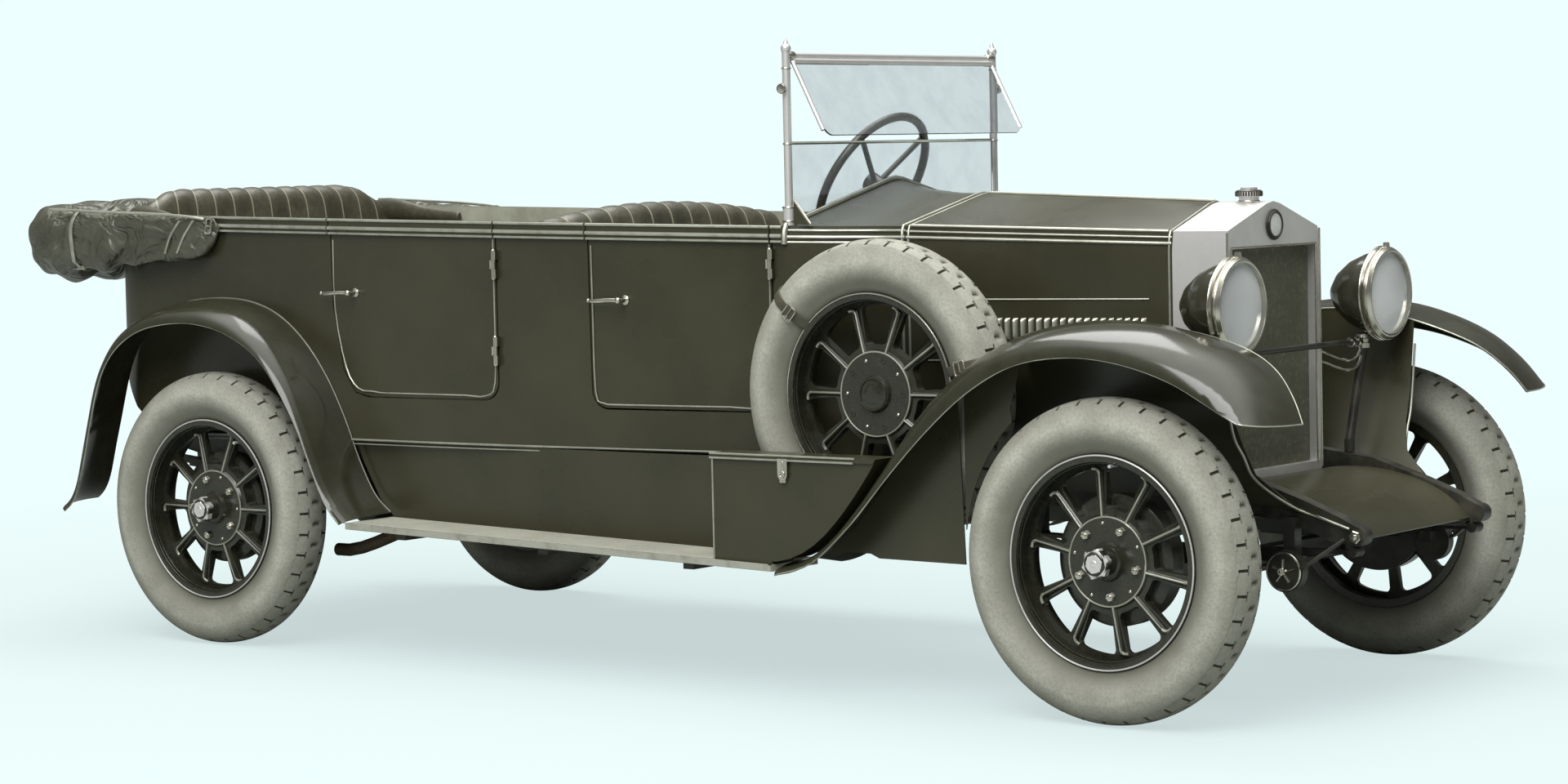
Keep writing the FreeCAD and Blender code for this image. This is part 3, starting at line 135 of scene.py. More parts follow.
def chain(tree, source, steps):
    # each node is fed by the one before it, and hands on its factor or else its first output
    for kind, settings in steps:
        node = addNode(tree, kind, settings)
        fed = [key for key in ("Value", "Vector") if key in node.inputs]
        if fed:
            tree.links.new(source, node.inputs[fed[0]])
        source = node.outputs["Fac"] if "Fac" in node.outputs else node.outputs[0]
    return source


def ranged(tree, mask, low, high):
    # the mask stretched from low to high
    if (low, high) == (0.0, 1.0):
        return mask
    return chain(tree, mask, [("ShaderNodeMapRange", {"To Min": low, "To Max": high})])


def lookingUp(tree, slope):
    # how far a surface looks up beyond that slope, where dust settles
    normal = addNode(tree, "ShaderNodeNewGeometry").outputs["Normal"]
    z = addNode(tree, "ShaderNodeSeparateXYZ", None, {0: normal}).outputs[2]
    return chain(tree, z, [("ShaderNodeMapRange", {"From Min": slope})])


def makeFinish(name, settings, masks, ground, layers, roughness, relief=()):
    # layers lie over the ground colour: a mask, its least and most share, a colour, and for dust its slope;
    # roughness follows a mask between two values, and relief is a mask, millimetres and strength
    material = bpy.data.materials.new(name)
    material.use_nodes = True
    tree = material.node_tree
    shader = tree.nodes["Principled BSDF"]
    for key, value in settings.items():
        shader.inputs[key].default_value = value
    place = addNode(tree, "ShaderNodeTexCoord").outputs["Object"]
    made = {key: chain(tree, place, steps) for key, steps in masks.items()}
    colour = None
    for key, low, high, code, *slope in layers:
        share = ranged(tree, made[key], low, high)
        if slope:
            share = addNode(tree, "ShaderNodeMath", {"operation": "MULTIPLY"},
                            {0: lookingUp(tree, slope[0]), 1: share}).outputs[0]
        mix = addNode(tree, "ShaderNodeMix", {"data_type": "RGBA", 7: hexColour(code)}, {0: share})
        if colour is None:
            mix.inputs[6].default_value = hexColour(ground)
        else:
            tree.links.new(colour, mix.inputs[6])
        colour = mix.outputs[2]
    tree.links.new(colour, shader.inputs["Base Color"])
    tree.links.new(ranged(tree, made[roughness[0]], *roughness[1:]), shader.inputs["Roughness"])
    normal = None
    for key, millimetres, strength in relief:
        links = {"Height": made[key]}
        if normal is not None:
            links["Normal"] = normal
        normal = addNode(tree, "ShaderNodeBump", {"Distance": millimetres / 1000.0, "Strength": strength},
                         links).outputs[0]
    if normal is not None:
        tree.links.new(normal, shader.inputs["Normal"])
    return material


finishes = {}
# brushed nitrocellulose lacquer on steel panels: olive black, soft gloss, faint brush ripple and polish haze
finishes["body_paint"] = makeFinish(
    "coachLacquer", {"IOR": 1.45},
    {"haze": patches(420.0, 0.35, 0.7), "fine": patches(9.0, 0.3, 0.75, 6.0),
     "ripple": patches(40.0, 0.1, 0.9, 1.0, (0.3, 1.0, 1.0))},
    "#302f21", [("haze", 0.0, 1.0, "#3b3a2a"), ("fine", 0.04, 0.12, "#5c5b4a", 0.4)],
    ("haze", 0.24, 0.34), [("ripple", 0.1, 0.06)])

# stoved black enamel on beaten steel wings: harder gloss than the body, hammer waves, road dust on top
finishes["wing_enamel"] = makeFinish(
    "wingEnamel", {"IOR": 1.5},
    {"waves": patches(60.0, 0.25, 0.75, 2.0), "speck": patches(5.0, 0.45, 0.75, 5.0)},
    "#28281d", [("waves", 0.0, 1.0, "#313125"), ("speck", 0.02, 0.08, "#77766a", 0.5)],
    ("speck", 0.13, 0.2), [("waves", 0.3, 0.3)])

# brushed black chassis paint over forgings and pressings: satin, with scale grain and brown grime
finishes["chassis_paint"] = makeFinish(
    "chassisPaint", {"IOR": 1.5},
    {"grain": patches(2.5, 0.3, 0.7, 6.0), "grime": patches(70.0, 0.42, 0.68, 6.0)},
    "#1e1f19", [("grime", 0.0, 1.0, "#39372c")], ("grime", 0.34, 0.62), [("grain", 0.2, 0.5)])

# dipped enamel on pressed steel wheels: thick glossy black with pooled patches and specks of brake dust
finishes["wheel_enamel"] = makeFinish(
    "wheelEnamel", {"IOR": 1.5},
    {"pools": patches(35.0, 0.3, 0.7, 3.0), "speck": patches(4.0, 0.5, 0.8, 6.0)},
    "#1f2018", [("pools", 0.0, 1.0, "#2c2c22"), ("speck", 0.0, 0.2, "#6a6759")],
    ("pools", 0.16, 0.28), [("pools", 0.2, 0.3)])

# moulded natural rubber, pale grey: chalky bloom on the walls, scuffs, and painted shade stored on the
# covers, darker down the wall towards the rim, at the shoulders, over the tread and most in the grooves
finishes["tyre_rubber"] = makeFinish(
    "tyreRubber", {"IOR": 1.52, "Specular IOR Level": 0.35},
    {"bloom": patches(90.0, 0.3, 0.72, 5.0), "scuff": patches(7.0, 0.42, 0.7, 8.0),
     "pores": patches(1.2, 0.3, 0.7, 3.0), "paintedShade": [("ShaderNodeAttribute", {"attribute_name": "paintedShade"})]},
    "#96968a", [("bloom", 0.0, 1.0, "#b0b0a5"), ("paintedShade", 0.0, 1.0, "#3b3a2d"),
                ("scuff", 0.0, 0.4, "#67675a")],
    ("bloom", 0.62, 0.8), [("scuff", 0.4, 0.5), ("pores", 0.15, 0.5)])

# polished nickel plate on brass: warm grey mirror with soft cloth wipes and a few dull blooms
finishes["nickel"] = makeFinish(
    "nickelPlate", {"Metallic": 1.0},
    {"bloom": patches(45.0, 0.45, 0.75, 5.0), "wipes": patches(3.0, 0.35, 0.65, 3.0, (0.12, 1.0, 1.0))},
    "#cbc8bd", [("bloom", 0.0, 1.0, "#b3afa2")], ("bloom", 0.2, 0.34), [("wipes", 0.02, 0.25)])

# rolled spring steel, oiled: dark grey with rust between the leaves
finishes["spring_steel"] = makeFinish(
    "springSteel", {"Metallic": 0.7},
    {"rust": patches(30.0, 0.52, 0.72, 7.0), "grain": patches(4.0, 0.3, 0.7, 4.0, (0.2, 1.0, 1.0))},
    "#33342f", [("rust", 0.0, 1.0, "#4a3b2c")], ("rust", 0.38, 0.7), [("grain", 0.15, 0.4)])

# sand cast iron with thin grey paint: coarse sand skin, oil stains
finishes["engine_iron"] = makeFinish(
    "castIron", {"Metallic": 0.25, "IOR": 1.5},
    {"sand": patches(2.2, 0.25, 0.75, 6.0), "oil": patches(120.0, 0.48, 0.66, 5.0)},
    "#55564d", [("oil", 0.0, 1.0, "#23231d")], ("oil", 0.62, 0.34), [("sand", 0.4, 0.7)])

# drawn mild steel burnt by heat: brown grey oxide with rust patches and pale ash
finishes["exhaust_steel"] = makeFinish(
    "exhaustSteel", {"Metallic": 0.4},
    {"oxide": patches(55.0, 0.4, 0.7, 6.0), "flakes": patches(5.0, 0.5, 0.75, 6.0)},
    "#4b463b", [("oxide", 0.0, 1.0, "#5c4630"), ("flakes", 0.0, 0.5, "#7b7868")],
    ("oxide", 0.5, 0.8), [("flakes", 0.3, 0.5)])

# tinned brass tubes and fins, sprayed black and worn to a warm grey, with ridges 20 mm apart
finishes["core_brass"] = makeFinish(
    "coreBrass", {"Metallic": 0.5},
    {"worn": patches(12.0, 0.5, 0.75, 6.0),
     "fins": [("ShaderNodeTexWave", {"Scale": 15.625, "bands_direction": "Z"})]},
    "#5f6052", [("worn", 0.0, 1.0, "#807c66")], ("worn", 0.5, 0.35), [("fins", 0.5, 0.5)])

# calendered linoleum on the boards: pale grey, tiny cork flecks, walked smooth in patches
finishes["board_linoleum"] = makeFinish(
    "boardLinoleum", {"IOR": 1.5},
    {"fleck": patches(3.0, 0.4, 0.7, 5.0), "worn": patches(150.0, 0.35, 0.7)},
    "#9a9a8c", [("fleck", 0.0, 1.0, "#82827a"), ("worn", 0.0, 0.5, "#b5b4a6")],
    ("worn", 0.55, 0.38), [("fleck", 0.12, 0.5)])

# vegetable tanned hide, buffed and waxed: dark olive brown, pebble grain, worn paler in patches, creased,
# with painted shade darkening the hollows of the creases, and the welted seams between the pleats rubbed
# pale
finishes["seat_leather"] = makeFinish(
    "seatLeather", {"IOR": 1.48, "Coat Weight": 0.15, "Coat Roughness": 0.3},
    {"worn": patches(120.0, 0.42, 0.7, 5.0), "creases": patches(16.0, 0.46, 0.56, 6.0),
     "pebble": [("ShaderNodeTexVoronoi", {"Scale": perMetre(2.4), "feature": "DISTANCE_TO_EDGE"})],
     "seam": [("ShaderNodeAttribute", {"attribute_name": "seam"}),
              ("ShaderNodeMapRange", {"From Min": 0.72, "From Max": 0.9})]},
    "#3d3b2d", [("worn", 0.0, 1.0, "#565343"), ("creases", 0.25, 0.0, "#26251b"),
                ("seam", 0.0, 1.0, "#85836f")],
    ("worn", 0.5, 0.34), [("creases", 0.6, 0.45), ("pebble", 0.3, 0.35)])

# double texture rubbered duck: dark greenish cloth, its weave drawn at 4 mm so that it shows, paler and
# glossier patches that are partly wear and partly painted highlight, and sharp crumples, as in stiff cloth
# that has been rolled up
finishes["hood_cloth"] = makeFinish(
    "hoodCloth", {"IOR": 1.5},
    {"worn": patches(110.0, 0.35, 0.75, 5.0),
     "threads": [("ShaderNodeTexWave", {"Scale": 80.0, "Distortion": 0.6, "bands_direction": "DIAGONAL"})],
     "cross": [("ShaderNodeTexWave", {"Scale": 80.0, "Distortion": 0.6, "bands_direction": "Z"})],
     "crumple": [("ShaderNodeTexNoise", {"Scale": perMetre(120.0), "Detail": 2.5, "Roughness": 0.45,
                                         "Distortion": 1.6}),
                 ("ShaderNodeMath", {"operation": "PINGPONG", 1: 0.12})]},
    "#3d3d31", [("worn", 0.0, 1.0, "#58584c")], ("worn", 0.38, 0.26),
    [("crumple", 55.0, 0.75), ("threads", 0.2, 0.4), ("cross", 0.2, 0.4)])

# polished plate glass: nearly clear with a faint grey tint and a film of dust
finishes["clear_glass"] = makeFinish(
    "clearGlass", {"IOR": 1.52, "Transmission Weight": 1.0},
    {"film": patches(80.0, 0.4, 0.75, 6.0)}, "#e2e2e4", [("film", 0.0, 1.0, "#d6d5d9")],
    ("film", 0.01, 0.06))

# pressed lamp glass: milky, half clear, slightly wavy, with broad pale and grey patches of painted
# reflection and shade
finishes["lamp_glass"] = makeFinish(
    "lampGlass", {"IOR": 1.5, "Transmission Weight": 0.45},
    {"glow": patches(260.0, 0.38, 0.62, 0.5), "waves": patches(30.0, 0.3, 0.7, 2.0, (1.0, 1.0, 0.25))},
    "#f4f5f6", [("glow", 0.0, 1.0, "#b2b6b8")], ("waves", 0.01, 0.05), [("waves", 0.2, 0.15)])

# moulded black bakelite: near black brown, satin, hand polished
finishes["bakelite"] = makeFinish(
    "bakelite", {"IOR": 1.6}, {"swirl": patches(14.0, 0.35, 0.7, 5.0)},
    "#2a281f", [("swirl", 0.0, 1.0, "#3b382c")], ("swirl", 0.24, 0.42), [("swirl", 0.05, 0.3)])

# pale grey beading that paints the highlight lines along rolled edges, ribs and folds: brushed along its
# length, dulled in places
finishes["bead"] = makeFinish(
    "paintedHighlightBead", {"Metallic": 0.65},
    {"dull": patches(60.0, 0.4, 0.75, 5.0), "lines": patches(2.5, 0.3, 0.7, 3.0, (0.1, 1.0, 1.0))},
    "#b4b5a8", [("dull", 0.0, 1.0, "#8b8c7c")], ("dull", 0.30, 0.48), [("lines", 0.02, 0.3)])

# spun and buffed nickel silver of the radiator shell: pale, satin, with fine buffing lines
shellSilver = makeFinish(
    "germanSilver", {"Metallic": 0.75},
    {"bloom": patches(130.0, 0.35, 0.75), "lines": patches(2.0, 0.3, 0.7, 3.0, (1.0, 1.0, 0.06))},
    "#e6e4e2", [("bloom", 0.0, 1.0, "#d2d0cf")], ("bloom", 0.34, 0.46), [("lines", 0.02, 0.3)])

# fired enamel on a copper disc: pale grey white, glossy, a little uneven
badgeEnamel = makeFinish(
    "badgeEnamel", {"IOR": 1.5}, {"cloud": patches(14.0, 0.35, 0.7, 5.0)},
    "#d4d4d2", [("cloud", 0.0, 1.0, "#bfc0bc")], ("cloud", 0.15, 0.28), [("cloud", 0.1, 0.2)])

# woven trim on the inside of doors and walls: pale grey green, with cords 8 mm apart, rubbed in patches
trimCloth = makeFinish(
    "trimCloth", {"IOR": 1.45},
    {"cords": [("ShaderNodeTexWave", {"Scale": 40.0, "Distortion": 0.8, "bands_direction": "X"})],
     "rubbed": patches(90.0, 0.4, 0.7, 5.0)},
    "#8f9080", [("rubbed", 0.0, 1.0, "#a8a999")], ("rubbed", 0.75, 0.9), [("cords", 0.3, 0.5)])

slotOfNode = {row["node"]: row["material_slot"] for row in frame["record"]["subparts"]}
# which faces of body and doors are hinges or trim, and how the CAD surfaces are smoothed
trimming = {"hingeOut": 0.0115, "hingeTop": 1.18, "hingeRear": -0.4, "facing": 0.5, "floor": 0.66,
            "skin": 0.02, "weld": 0.00002, "sharpDegrees": 31}
for name, node in cadNodes.items():
    node.data.materials.clear()
    silvered = name in ("radiator_shell", "windscreen_frame")
    node.data.materials.append(shellSilver if silvered else finishes[slotOfNode[name]])
    if name == "body_tub" or name.startswith("door_"):
        # trimmed inside, and nickelled hinges
        node.data.materials.append(trimCloth)
        node.data.materials.append(finishes["nickel"])
        for face in node.data.polygons:
            x, y, z = node.matrix_world @ face.center
            side = 1 if y > 0 else -1
            half = bodyHalf(x + middleX)
            low = z < trimming["hingeTop"] and x > trimming["hingeRear"]
            if low and abs(y) > half + trimming["hingeOut"]:
                face.material_index = 2
            elif (face.normal.y * side < -trimming["facing"] and z > trimming["floor"]
                  and abs(y) < half - trimming["skin"]):
                face.material_index = 1
    node.data.shade_smooth()
    joined = node.modifiers.new("joined", "WELD")
    joined.merge_threshold = trimming["weld"]
    edges = node.modifiers.new("edges", "EDGE_SPLIT")
    edges.split_angle = math.radians(trimming["sharpDegrees"])
    edges.use_edge_sharp = False
print("materials made:", len(finishes))


# mesh building: a part is a list of points and a list of faces, and a piece is one or more parts
def gather(parts):
    points, faces = [], []
    for partPoints, partFaces in parts:
        start = len(points)
        points += partPoints
        faces += [tuple(number + start for number in face) for face in partFaces]
    return points, faces


def mirrored(part):
    # the same part on the other side of the car
    points, faces = part
    return [Vector((p[0], -p[1], p[2])) for p in points], [tuple(reversed(face)) for face in faces]


def bothSides(parts):
    return parts + [mirrored(part) for part in parts]


def placed(part, matrix):
    points, faces = part
    return [matrix @ Vector(p) for p in points], faces


def makePiece(name, parts, finish, body="car", bevel=0.0, angle=38.0):
    points, faces = gather(parts)
    mesh = bpy.data.meshes.new(name)
    mesh.from_pydata([tuple(p) for p in points], [], faces)
    mesh.materials.append(finishes[finish])
    mesh.shade_smooth()
    mesh.set_sharp_from_angle(angle=math.radians(angle))
    holder = bpy.data.objects.new(name, mesh)
    bpy.context.scene.collection.objects.link(holder)
    if bevel:
        edge = holder.modifiers.new("edge", "BEVEL")
        edge.width = bevel
        edge.segments = 2
        edge.limit_method = "ANGLE"
        edge.angle_limit = math.radians(40)
        edge.harden_normals = True
    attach(holder, body)
    return holder


def oval(across, up, sides):
    turns = [math.tau * k / sides for k in range(sides)]
    return [(across * math.cos(turn), up * math.sin(turn)) for turn in turns]


def ringFaces(rings, size, closed=False, turned=False):
    # faces between rings of points that follow one another
    faces = []
    for number in range(rings if closed else rings - 1):
        first, second = number * size, (number + 1) % rings * size
        for k in range(size):
            after = (k + 1) % size
            quad = (first + k, first + after, second + after, second + k)
            faces.append((quad[0], quad[3], quad[2], quad[1]) if turned else quad)
    return faces


def roundedBar(width, height, corner, steps=3):
    # outline of a flat bar with round corners, width across and height up
    outline = []
    for quarter, (a, b) in enumerate(((1, 1), (-1, 1), (-1, -1), (1, -1))):
        for k in range(steps + 1):
            angle = math.radians(90 * quarter + 90 * k / steps)
            outline.append((a * (width / 2 - corner) + corner * math.cos(angle),
                            b * (height / 2 - corner) + corner * math.sin(angle)))
    return outline


def sweep(path, outline, closed=False, start=(0, 0, 1), scale=None):
    # the outline's (across, up) points carried along the path
    path = [Vector(p) for p in path]
    count, ring = len(path), len(outline)
    up = Vector(start)
    points = []
    for number, place in enumerate(path):
        if closed:
            ahead = (path[(number + 1) % count] - path[number - 1]).normalized()
        else:
            ahead = (path[min(number + 1, count - 1)] - path[max(number - 1, 0)]).normalized()
        side = ahead.cross(up)
        if side.length < 0.02:
            side = ahead.cross(Vector((0.3, 0.9, 0.2)))
        side.normalize()
        up = side.cross(ahead).normalized()
        size = scale[number] if scale else 1.0
        points += [place + side * (a * size) + up * (b * size) for a, b in outline]
    faces = ringFaces(count, ring, closed, True)
    if not closed:
        faces.append(tuple(range(ring)))
        faces.append(tuple(reversed(range((count - 1) * ring, count * ring))))
    return points, faces


def tube(path, radius, sides=8, closed=False, start=(0, 0, 1)):
    return sweep(path, oval(radius, radius, sides), closed, start)


def lathe(profile, centre, axis, steps=32):
    # (radius, along) points turned round the axis through the centre
    axis = Vector(axis).normalized()
    first = axis.orthogonal().normalized()
    second = axis.cross(first)
    points, faces, rings = [], [], []
    for radius, along in profile:
        middle = Vector(centre) + axis * along
        if radius < 1e-6:
            rings.append([len(points)])
            points.append(middle)
            continue
        rings.append(list(range(len(points), len(points) + steps)))
        for k in range(steps):
            turn = math.tau * k / steps
            points.append(middle + (first * math.cos(turn) + second * math.sin(turn)) * radius)
    for low, high in zip(rings, rings[1:]):
        for k in range(steps):
            after = (k + 1) % steps
            if len(low) > 1 and len(high) > 1:
                faces.append((low[k], low[after], high[after], high[k]))
            elif len(high) > 1:
                faces.append((low[0], high[after], high[k]))
            elif len(low) > 1:
                faces.append((low[k], low[after], high[0]))
    if len(rings[0]) > 1:
        faces.append(tuple(reversed(rings[0])))
    if len(rings[-1]) > 1:
        faces.append(tuple(rings[-1]))
    return points, faces


def ball(centre, radius, steps=14):
    turns = [math.pi * k / (steps // 2) for k in range(steps // 2 + 1)]
    profile = [(radius * math.sin(turn), -radius * math.cos(turn)) for turn in turns]
    return lathe(profile, centre, (0, 0, 1), steps)


def ringTube(centre, axis, radius, thickness, steps=64, sides=8):
    axis = Vector(axis).normalized()
    first = axis.orthogonal().normalized()
    second = axis.cross(first)
    turns = [math.tau * k / steps for k in range(steps)]
    path = [Vector(centre) + (first * math.cos(turn) + second * math.sin(turn)) * radius for turn in turns]
    return tube(path, thickness, sides, True, axis)


def block(low, high):
    x0, y0, z0 = low
    x1, y1, z1 = high
    points = [Vector(p) for p in ((x0, y0, z0), (x1, y0, z0), (x1, y1, z0), (x0, y1, z0),
                                  (x0, y0, z1), (x1, y0, z1), (x1, y1, z1), (x0, y1, z1))]
    return points, [(0, 3, 2, 1), (4, 5, 6, 7), (0, 1, 5, 4), (1, 2, 6, 5), (2, 3, 7, 6), (3, 0, 4, 7)]


def slab(outline, lift):
    # a flat outline of points, given thickness by the vector lift
    count = len(outline)
    lift = Vector(lift)
    points = [Vector(p) for p in outline] + [Vector(p) + lift for p in outline]
    faces = [tuple(reversed(range(count))), tuple(range(count, 2 * count))]
    for k in range(count):
        after = (k + 1) % count
        faces.append((k, after, after + count, k + count))
    total = Vector()
    for k in range(count):
        total += points[k].cross(points[(k + 1) % count])
    if total.dot(lift) < 0:
        faces = [tuple(reversed(face)) for face in faces]
    return points, faces


def nut(centre, axis, radius, height):
    # a hexagon nut with the stud's end standing out of it
    body = [(radius, 0.0), (radius, height * 0.75), (radius * 0.82, height)]
    stud = [(radius * 0.45, height * 0.9), (radius * 0.45, height * 1.3), (radius * 0.25, height * 1.42)]
    return [lathe(body, centre, axis, 6), lathe(stud, centre, axis, 10)]


def dome(centre, axis, radius, height, steps=12):
    turns = [math.radians(15 * k) for k in range(6)]
    profile = [(radius * math.cos(turn), height * math.sin(turn)) for turn in turns]
    return lathe([(radius, -0.001)] + profile + [(0.0, height)], centre, axis, steps)


def smoothPath(points, pieces=6):
    # a smooth line through all the points
    points = [Vector(p) for p in points]
    result = []
    for number in range(len(points) - 1):
        before = points[max(number - 1, 0)]
        first, second = points[number], points[number + 1]
        after = points[min(number + 2, len(points) - 1)]
        for k in range(pieces):
            t = k / pieces
            result.append(0.5 * ((2 * first) + (second - before) * t
                                 + (2 * before - 5 * first + 4 * second - after) * t * t
                                 + (3 * first - before - 3 * second + after) * t ** 3))
    result.append(points[-1])
    return result


def bent(points, pieces, radius, start=(0, 0, 1)):
    return tube(smoothPath(points, pieces), radius, 8, False, start)


def straight(first, second, radius, sides=8, start=(0, 0, 1)):
    return tube([first, second], radius, sides, False, start)


def roundedLoop(corners, radius):
    # a buckle's wire, with its four corners cut
    path = [corners[k].lerp(corners[(k + 1) % 4], share) for k in range(4) for share in (0.1, 0.5, 0.9)]
    return tube(path, radius, 8, True, (0, 1, 0))


def alongMarks(marks, x):
    # the height of a line through the marks at x
    for (x0, y0), (x1, y1) in zip(marks, marks[1:]):
        if x <= x1:
            return y0 + (y1 - y0) * (x - x0) / (x1 - x0)
    return marks[-1][1]


# tyres: moulded covers with a row of T-shaped grooves each side and notches between them
tyreSizes = {"pitches": 40, "depth": 0.006, "barFrom": 0.0245, "barTo": 0.0295, "legTo": 0.050,
             "lineFrom": 0.0550, "lineTo": 0.0562, "notchTo": 0.0095, "barHalf": 0.0115, "legHalf": 0.0034,
             "lineDepth": 0.0014, "slope": 0.0008, "groovedFrom": 0.375}
tyreWall = [(0.2548, 0.0455), (0.268, 0.0462), (0.272, 0.0500), (0.281, 0.0525), (0.292, 0.0585),
            (0.302, 0.0652), (0.312, 0.0705), (0.323, 0.0738), (0.334, 0.0749), (0.346, 0.0744),
            (0.358, 0.0719), (0.368, 0.0676)]


def treadRadius(across):
    # radius of the tread at a distance from its middle
    fall = 0.0035 * (across / 0.03) ** 2 + 0.0026 * max(0.0, (across - 0.03) / 0.02) ** 2.2
    return coach["tyreRadius"] - fall


def tyrePart(sizes):
    slope = sizes["slope"]
    lines = [0.0, 0.0088, sizes["notchTo"], 0.017, sizes["barFrom"] - slope, sizes["barFrom"],
             sizes["barTo"], sizes["barTo"] + slope, 0.040, sizes["legTo"] - slope, sizes["legTo"],
             sizes["lineFrom"] - slope, sizes["lineFrom"], sizes["lineTo"], sizes["lineTo"] + slope, 0.0612]
    half = [(treadRadius(y), y) for y in lines] + list(reversed(tyreWall))
    profile = [(r, -y) for r, y in reversed(half)] + half[1:]
    pitch = 1.0 / sizes["pitches"]
    reach = math.tau * coach["tyreRadius"] * pitch
    edges = [wide / reach for wide in (sizes["barHalf"] + slope, sizes["barHalf"], sizes["legHalf"] + slope,
                                       sizes["legHalf"])]
    marks = [-0.5, -0.34] + [-edge for edge in edges] + list(reversed(edges)) + [0.34]
    points = []
    for number in range(sizes["pitches"]):
        for mark in marks:
            turn = math.tau * (number + mark) * pitch
            arc = abs(mark) * reach
            notchArc = (0.5 - abs(mark)) * reach
            for r, y in profile:
                across = abs(y)
                deep = 0.0
                if r > sizes["groovedFrom"]:
                    inBar = sizes["barFrom"] <= across <= sizes["barTo"] and arc <= sizes["barHalf"] + 1e-6
                    inLeg = sizes["barTo"] < across <= sizes["legTo"] and arc <= sizes["legHalf"] + 1e-6
                    inLine = sizes["lineFrom"] <= across <= sizes["lineTo"] and arc > sizes["barHalf"]
                    inNotch = across <= sizes["notchTo"] and notchArc <= 1e-6
                    if inBar or inLeg or inNotch:
                        deep = sizes["depth"]
                    elif inLine:
                        deep = sizes["lineDepth"]
                points.append(Vector(((r - deep) * math.cos(turn), y, (r - deep) * math.sin(turn))))
    return points, ringFaces(sizes["pitches"] * len(marks), len(profile), True)


# where the painted shade on the tyres lies and how dark it is
tyrePaintedShade = {"rimFrom": 0.345, "rimFade": 0.075, "rimDark": 0.85, "shoulder": 0.050, "shoulderFrom": 0.350,
             "shoulderFade": 0.035, "shoulderDark": 0.34, "treadFrom": 0.385, "treadTo": 0.056,
             "grooveFade": 0.005, "treadDark": 0.22}


def clamped(value):
    return min(1.0, max(0.0, value))


def paintTyreShade(holder, centre):
    # painted shade at each point of the rubber: towards the rim, at the shoulders, over the tread and at the
    # bottom of the grooves
    stored = holder.data.attributes.new("paintedShade", "FLOAT", "POINT")
    sizes = tyrePaintedShade
    for vertex in holder.data.vertices:
        x, y, z = vertex.co - centre
        radius = math.hypot(x, z)
        across = abs(y)
        dark = clamped((sizes["rimFrom"] - radius) / sizes["rimFade"]) * sizes["rimDark"]
        if across > sizes["shoulder"]:
            fade = clamped((radius - sizes["shoulderFrom"]) / sizes["shoulderFade"])
            dark = max(dark, fade * sizes["shoulderDark"])
        if radius > sizes["treadFrom"] and across < sizes["treadTo"]:
            groove = clamped((treadRadius(across) - radius) / sizes["grooveFade"])
            dark = max(dark, groove, sizes["treadDark"])
        stored.data[vertex.index].value = dark


wheelPlaces = {"rear_right": (0.0, -1), "rear_left": (0.0, 1), "front_right": (coach["wheelbase"], -1),
               "front_left": (coach["wheelbase"], 1)}
sparePlace = (2.374, -0.6, 0.794)
tyreMesh = tyrePart(tyreSizes)


def wheelMatrix(x, side):
    # the wheel's own axes: y points out of the car
    turn = Matrix.Rotation(math.pi if side < 0 else 0.0, 4, "Z")
    return Matrix.Translation(at(x, side * coach["track"] / 2, coach["tyreRadius"])) @ turn


for place, (x, side) in wheelPlaces.items():
    tyre = makePiece("cover_" + place, [placed(tyreMesh, wheelMatrix(x, side))], "tyre_rubber",
                     "wheel_" + place)
    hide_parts("tyre_" + place)
    paintTyreShade(tyre, at(x, side * coach["track"] / 2, coach["tyreRadius"]))
spareMatrix = Matrix.Translation(at(*sparePlace)) @ Matrix.Rotation(math.pi, 4, "Z")
tyre = makePiece("cover_spare", [placed(tyreMesh, spareMatrix)], "tyre_rubber")
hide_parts("spare_tyre")
paintTyreShade(tyre, at(*sparePlace))
print("tyres made")


# padded leather and the folded hood
def swell(holder, pinned, cap, pressure=5.0, frames=14):
    # cloth simulation: the seams are held, and the stuffing pushes the cover out between them by cap at most
    mesh = holder.data
    scene = bpy.context.scene
    group = holder.vertex_groups.new(name="seams")
    group.add(sorted(pinned), 1.0, "REPLACE")
    cloth = holder.modifiers.new("stuffing", "CLOTH")
    cloth.settings.vertex_group_mass = "seams"
    cloth.settings.use_pressure = True
    cloth.settings.uniform_pressure_force = pressure
    cloth.settings.effector_weights.gravity = 0.0
    cloth.settings.quality = 5
    cloth.settings.mass = 0.3
    cloth.settings.bending_stiffness = 1.5
    cloth.point_cache.frame_start = 1
    cloth.point_cache.frame_end = frames
    before = [vertex.co.copy() for vertex in mesh.vertices]
    for number in range(1, frames + 1):
        scene.frame_set(number)
    shaped = holder.evaluated_get(bpy.context.evaluated_depsgraph_get()).to_mesh()
    after = [vertex.co.copy() for vertex in shaped.vertices]
    holder.modifiers.remove(cloth)
    holder.vertex_groups.clear()
    for vertex, start, end in zip(mesh.vertices, before, after):
        move = end - start
        if move.length > cap:
            move *= cap / move.length
        vertex.co = start + move
    mesh.update()
    scene.frame_set(1)


def smoothed(holder):
    rounder = holder.modifiers.new("rounder", "SUBSURF")
    rounder.levels = 1
    rounder.render_levels = 1


seats = {"frontBackX": 1.19, "frontHalf": 0.536, "frontTop": 1.297, "frontFall": 0.044,
         "frontCushionTop": 0.95, "frontCushionFront": 1.698, "frontPleats": 12,
         "rearBackX": -0.478, "rearHalf": 0.577, "rearTop": 1.359, "rearFall": 0.084, "rearFlat": 0.38,
         "rearCushionTop": 0.98, "rearCushionFront": 0.248, "rearPleats": 14, "floor": 0.648,
         "columnsPerPleat": 6, "groove": 0.0055, "backThick": 0.062, "pushCap": 0.012,
         "piping": 0.0045, "pipedPoint": 11, "pipingLift": 0.004, "noseDrop": 0.17}


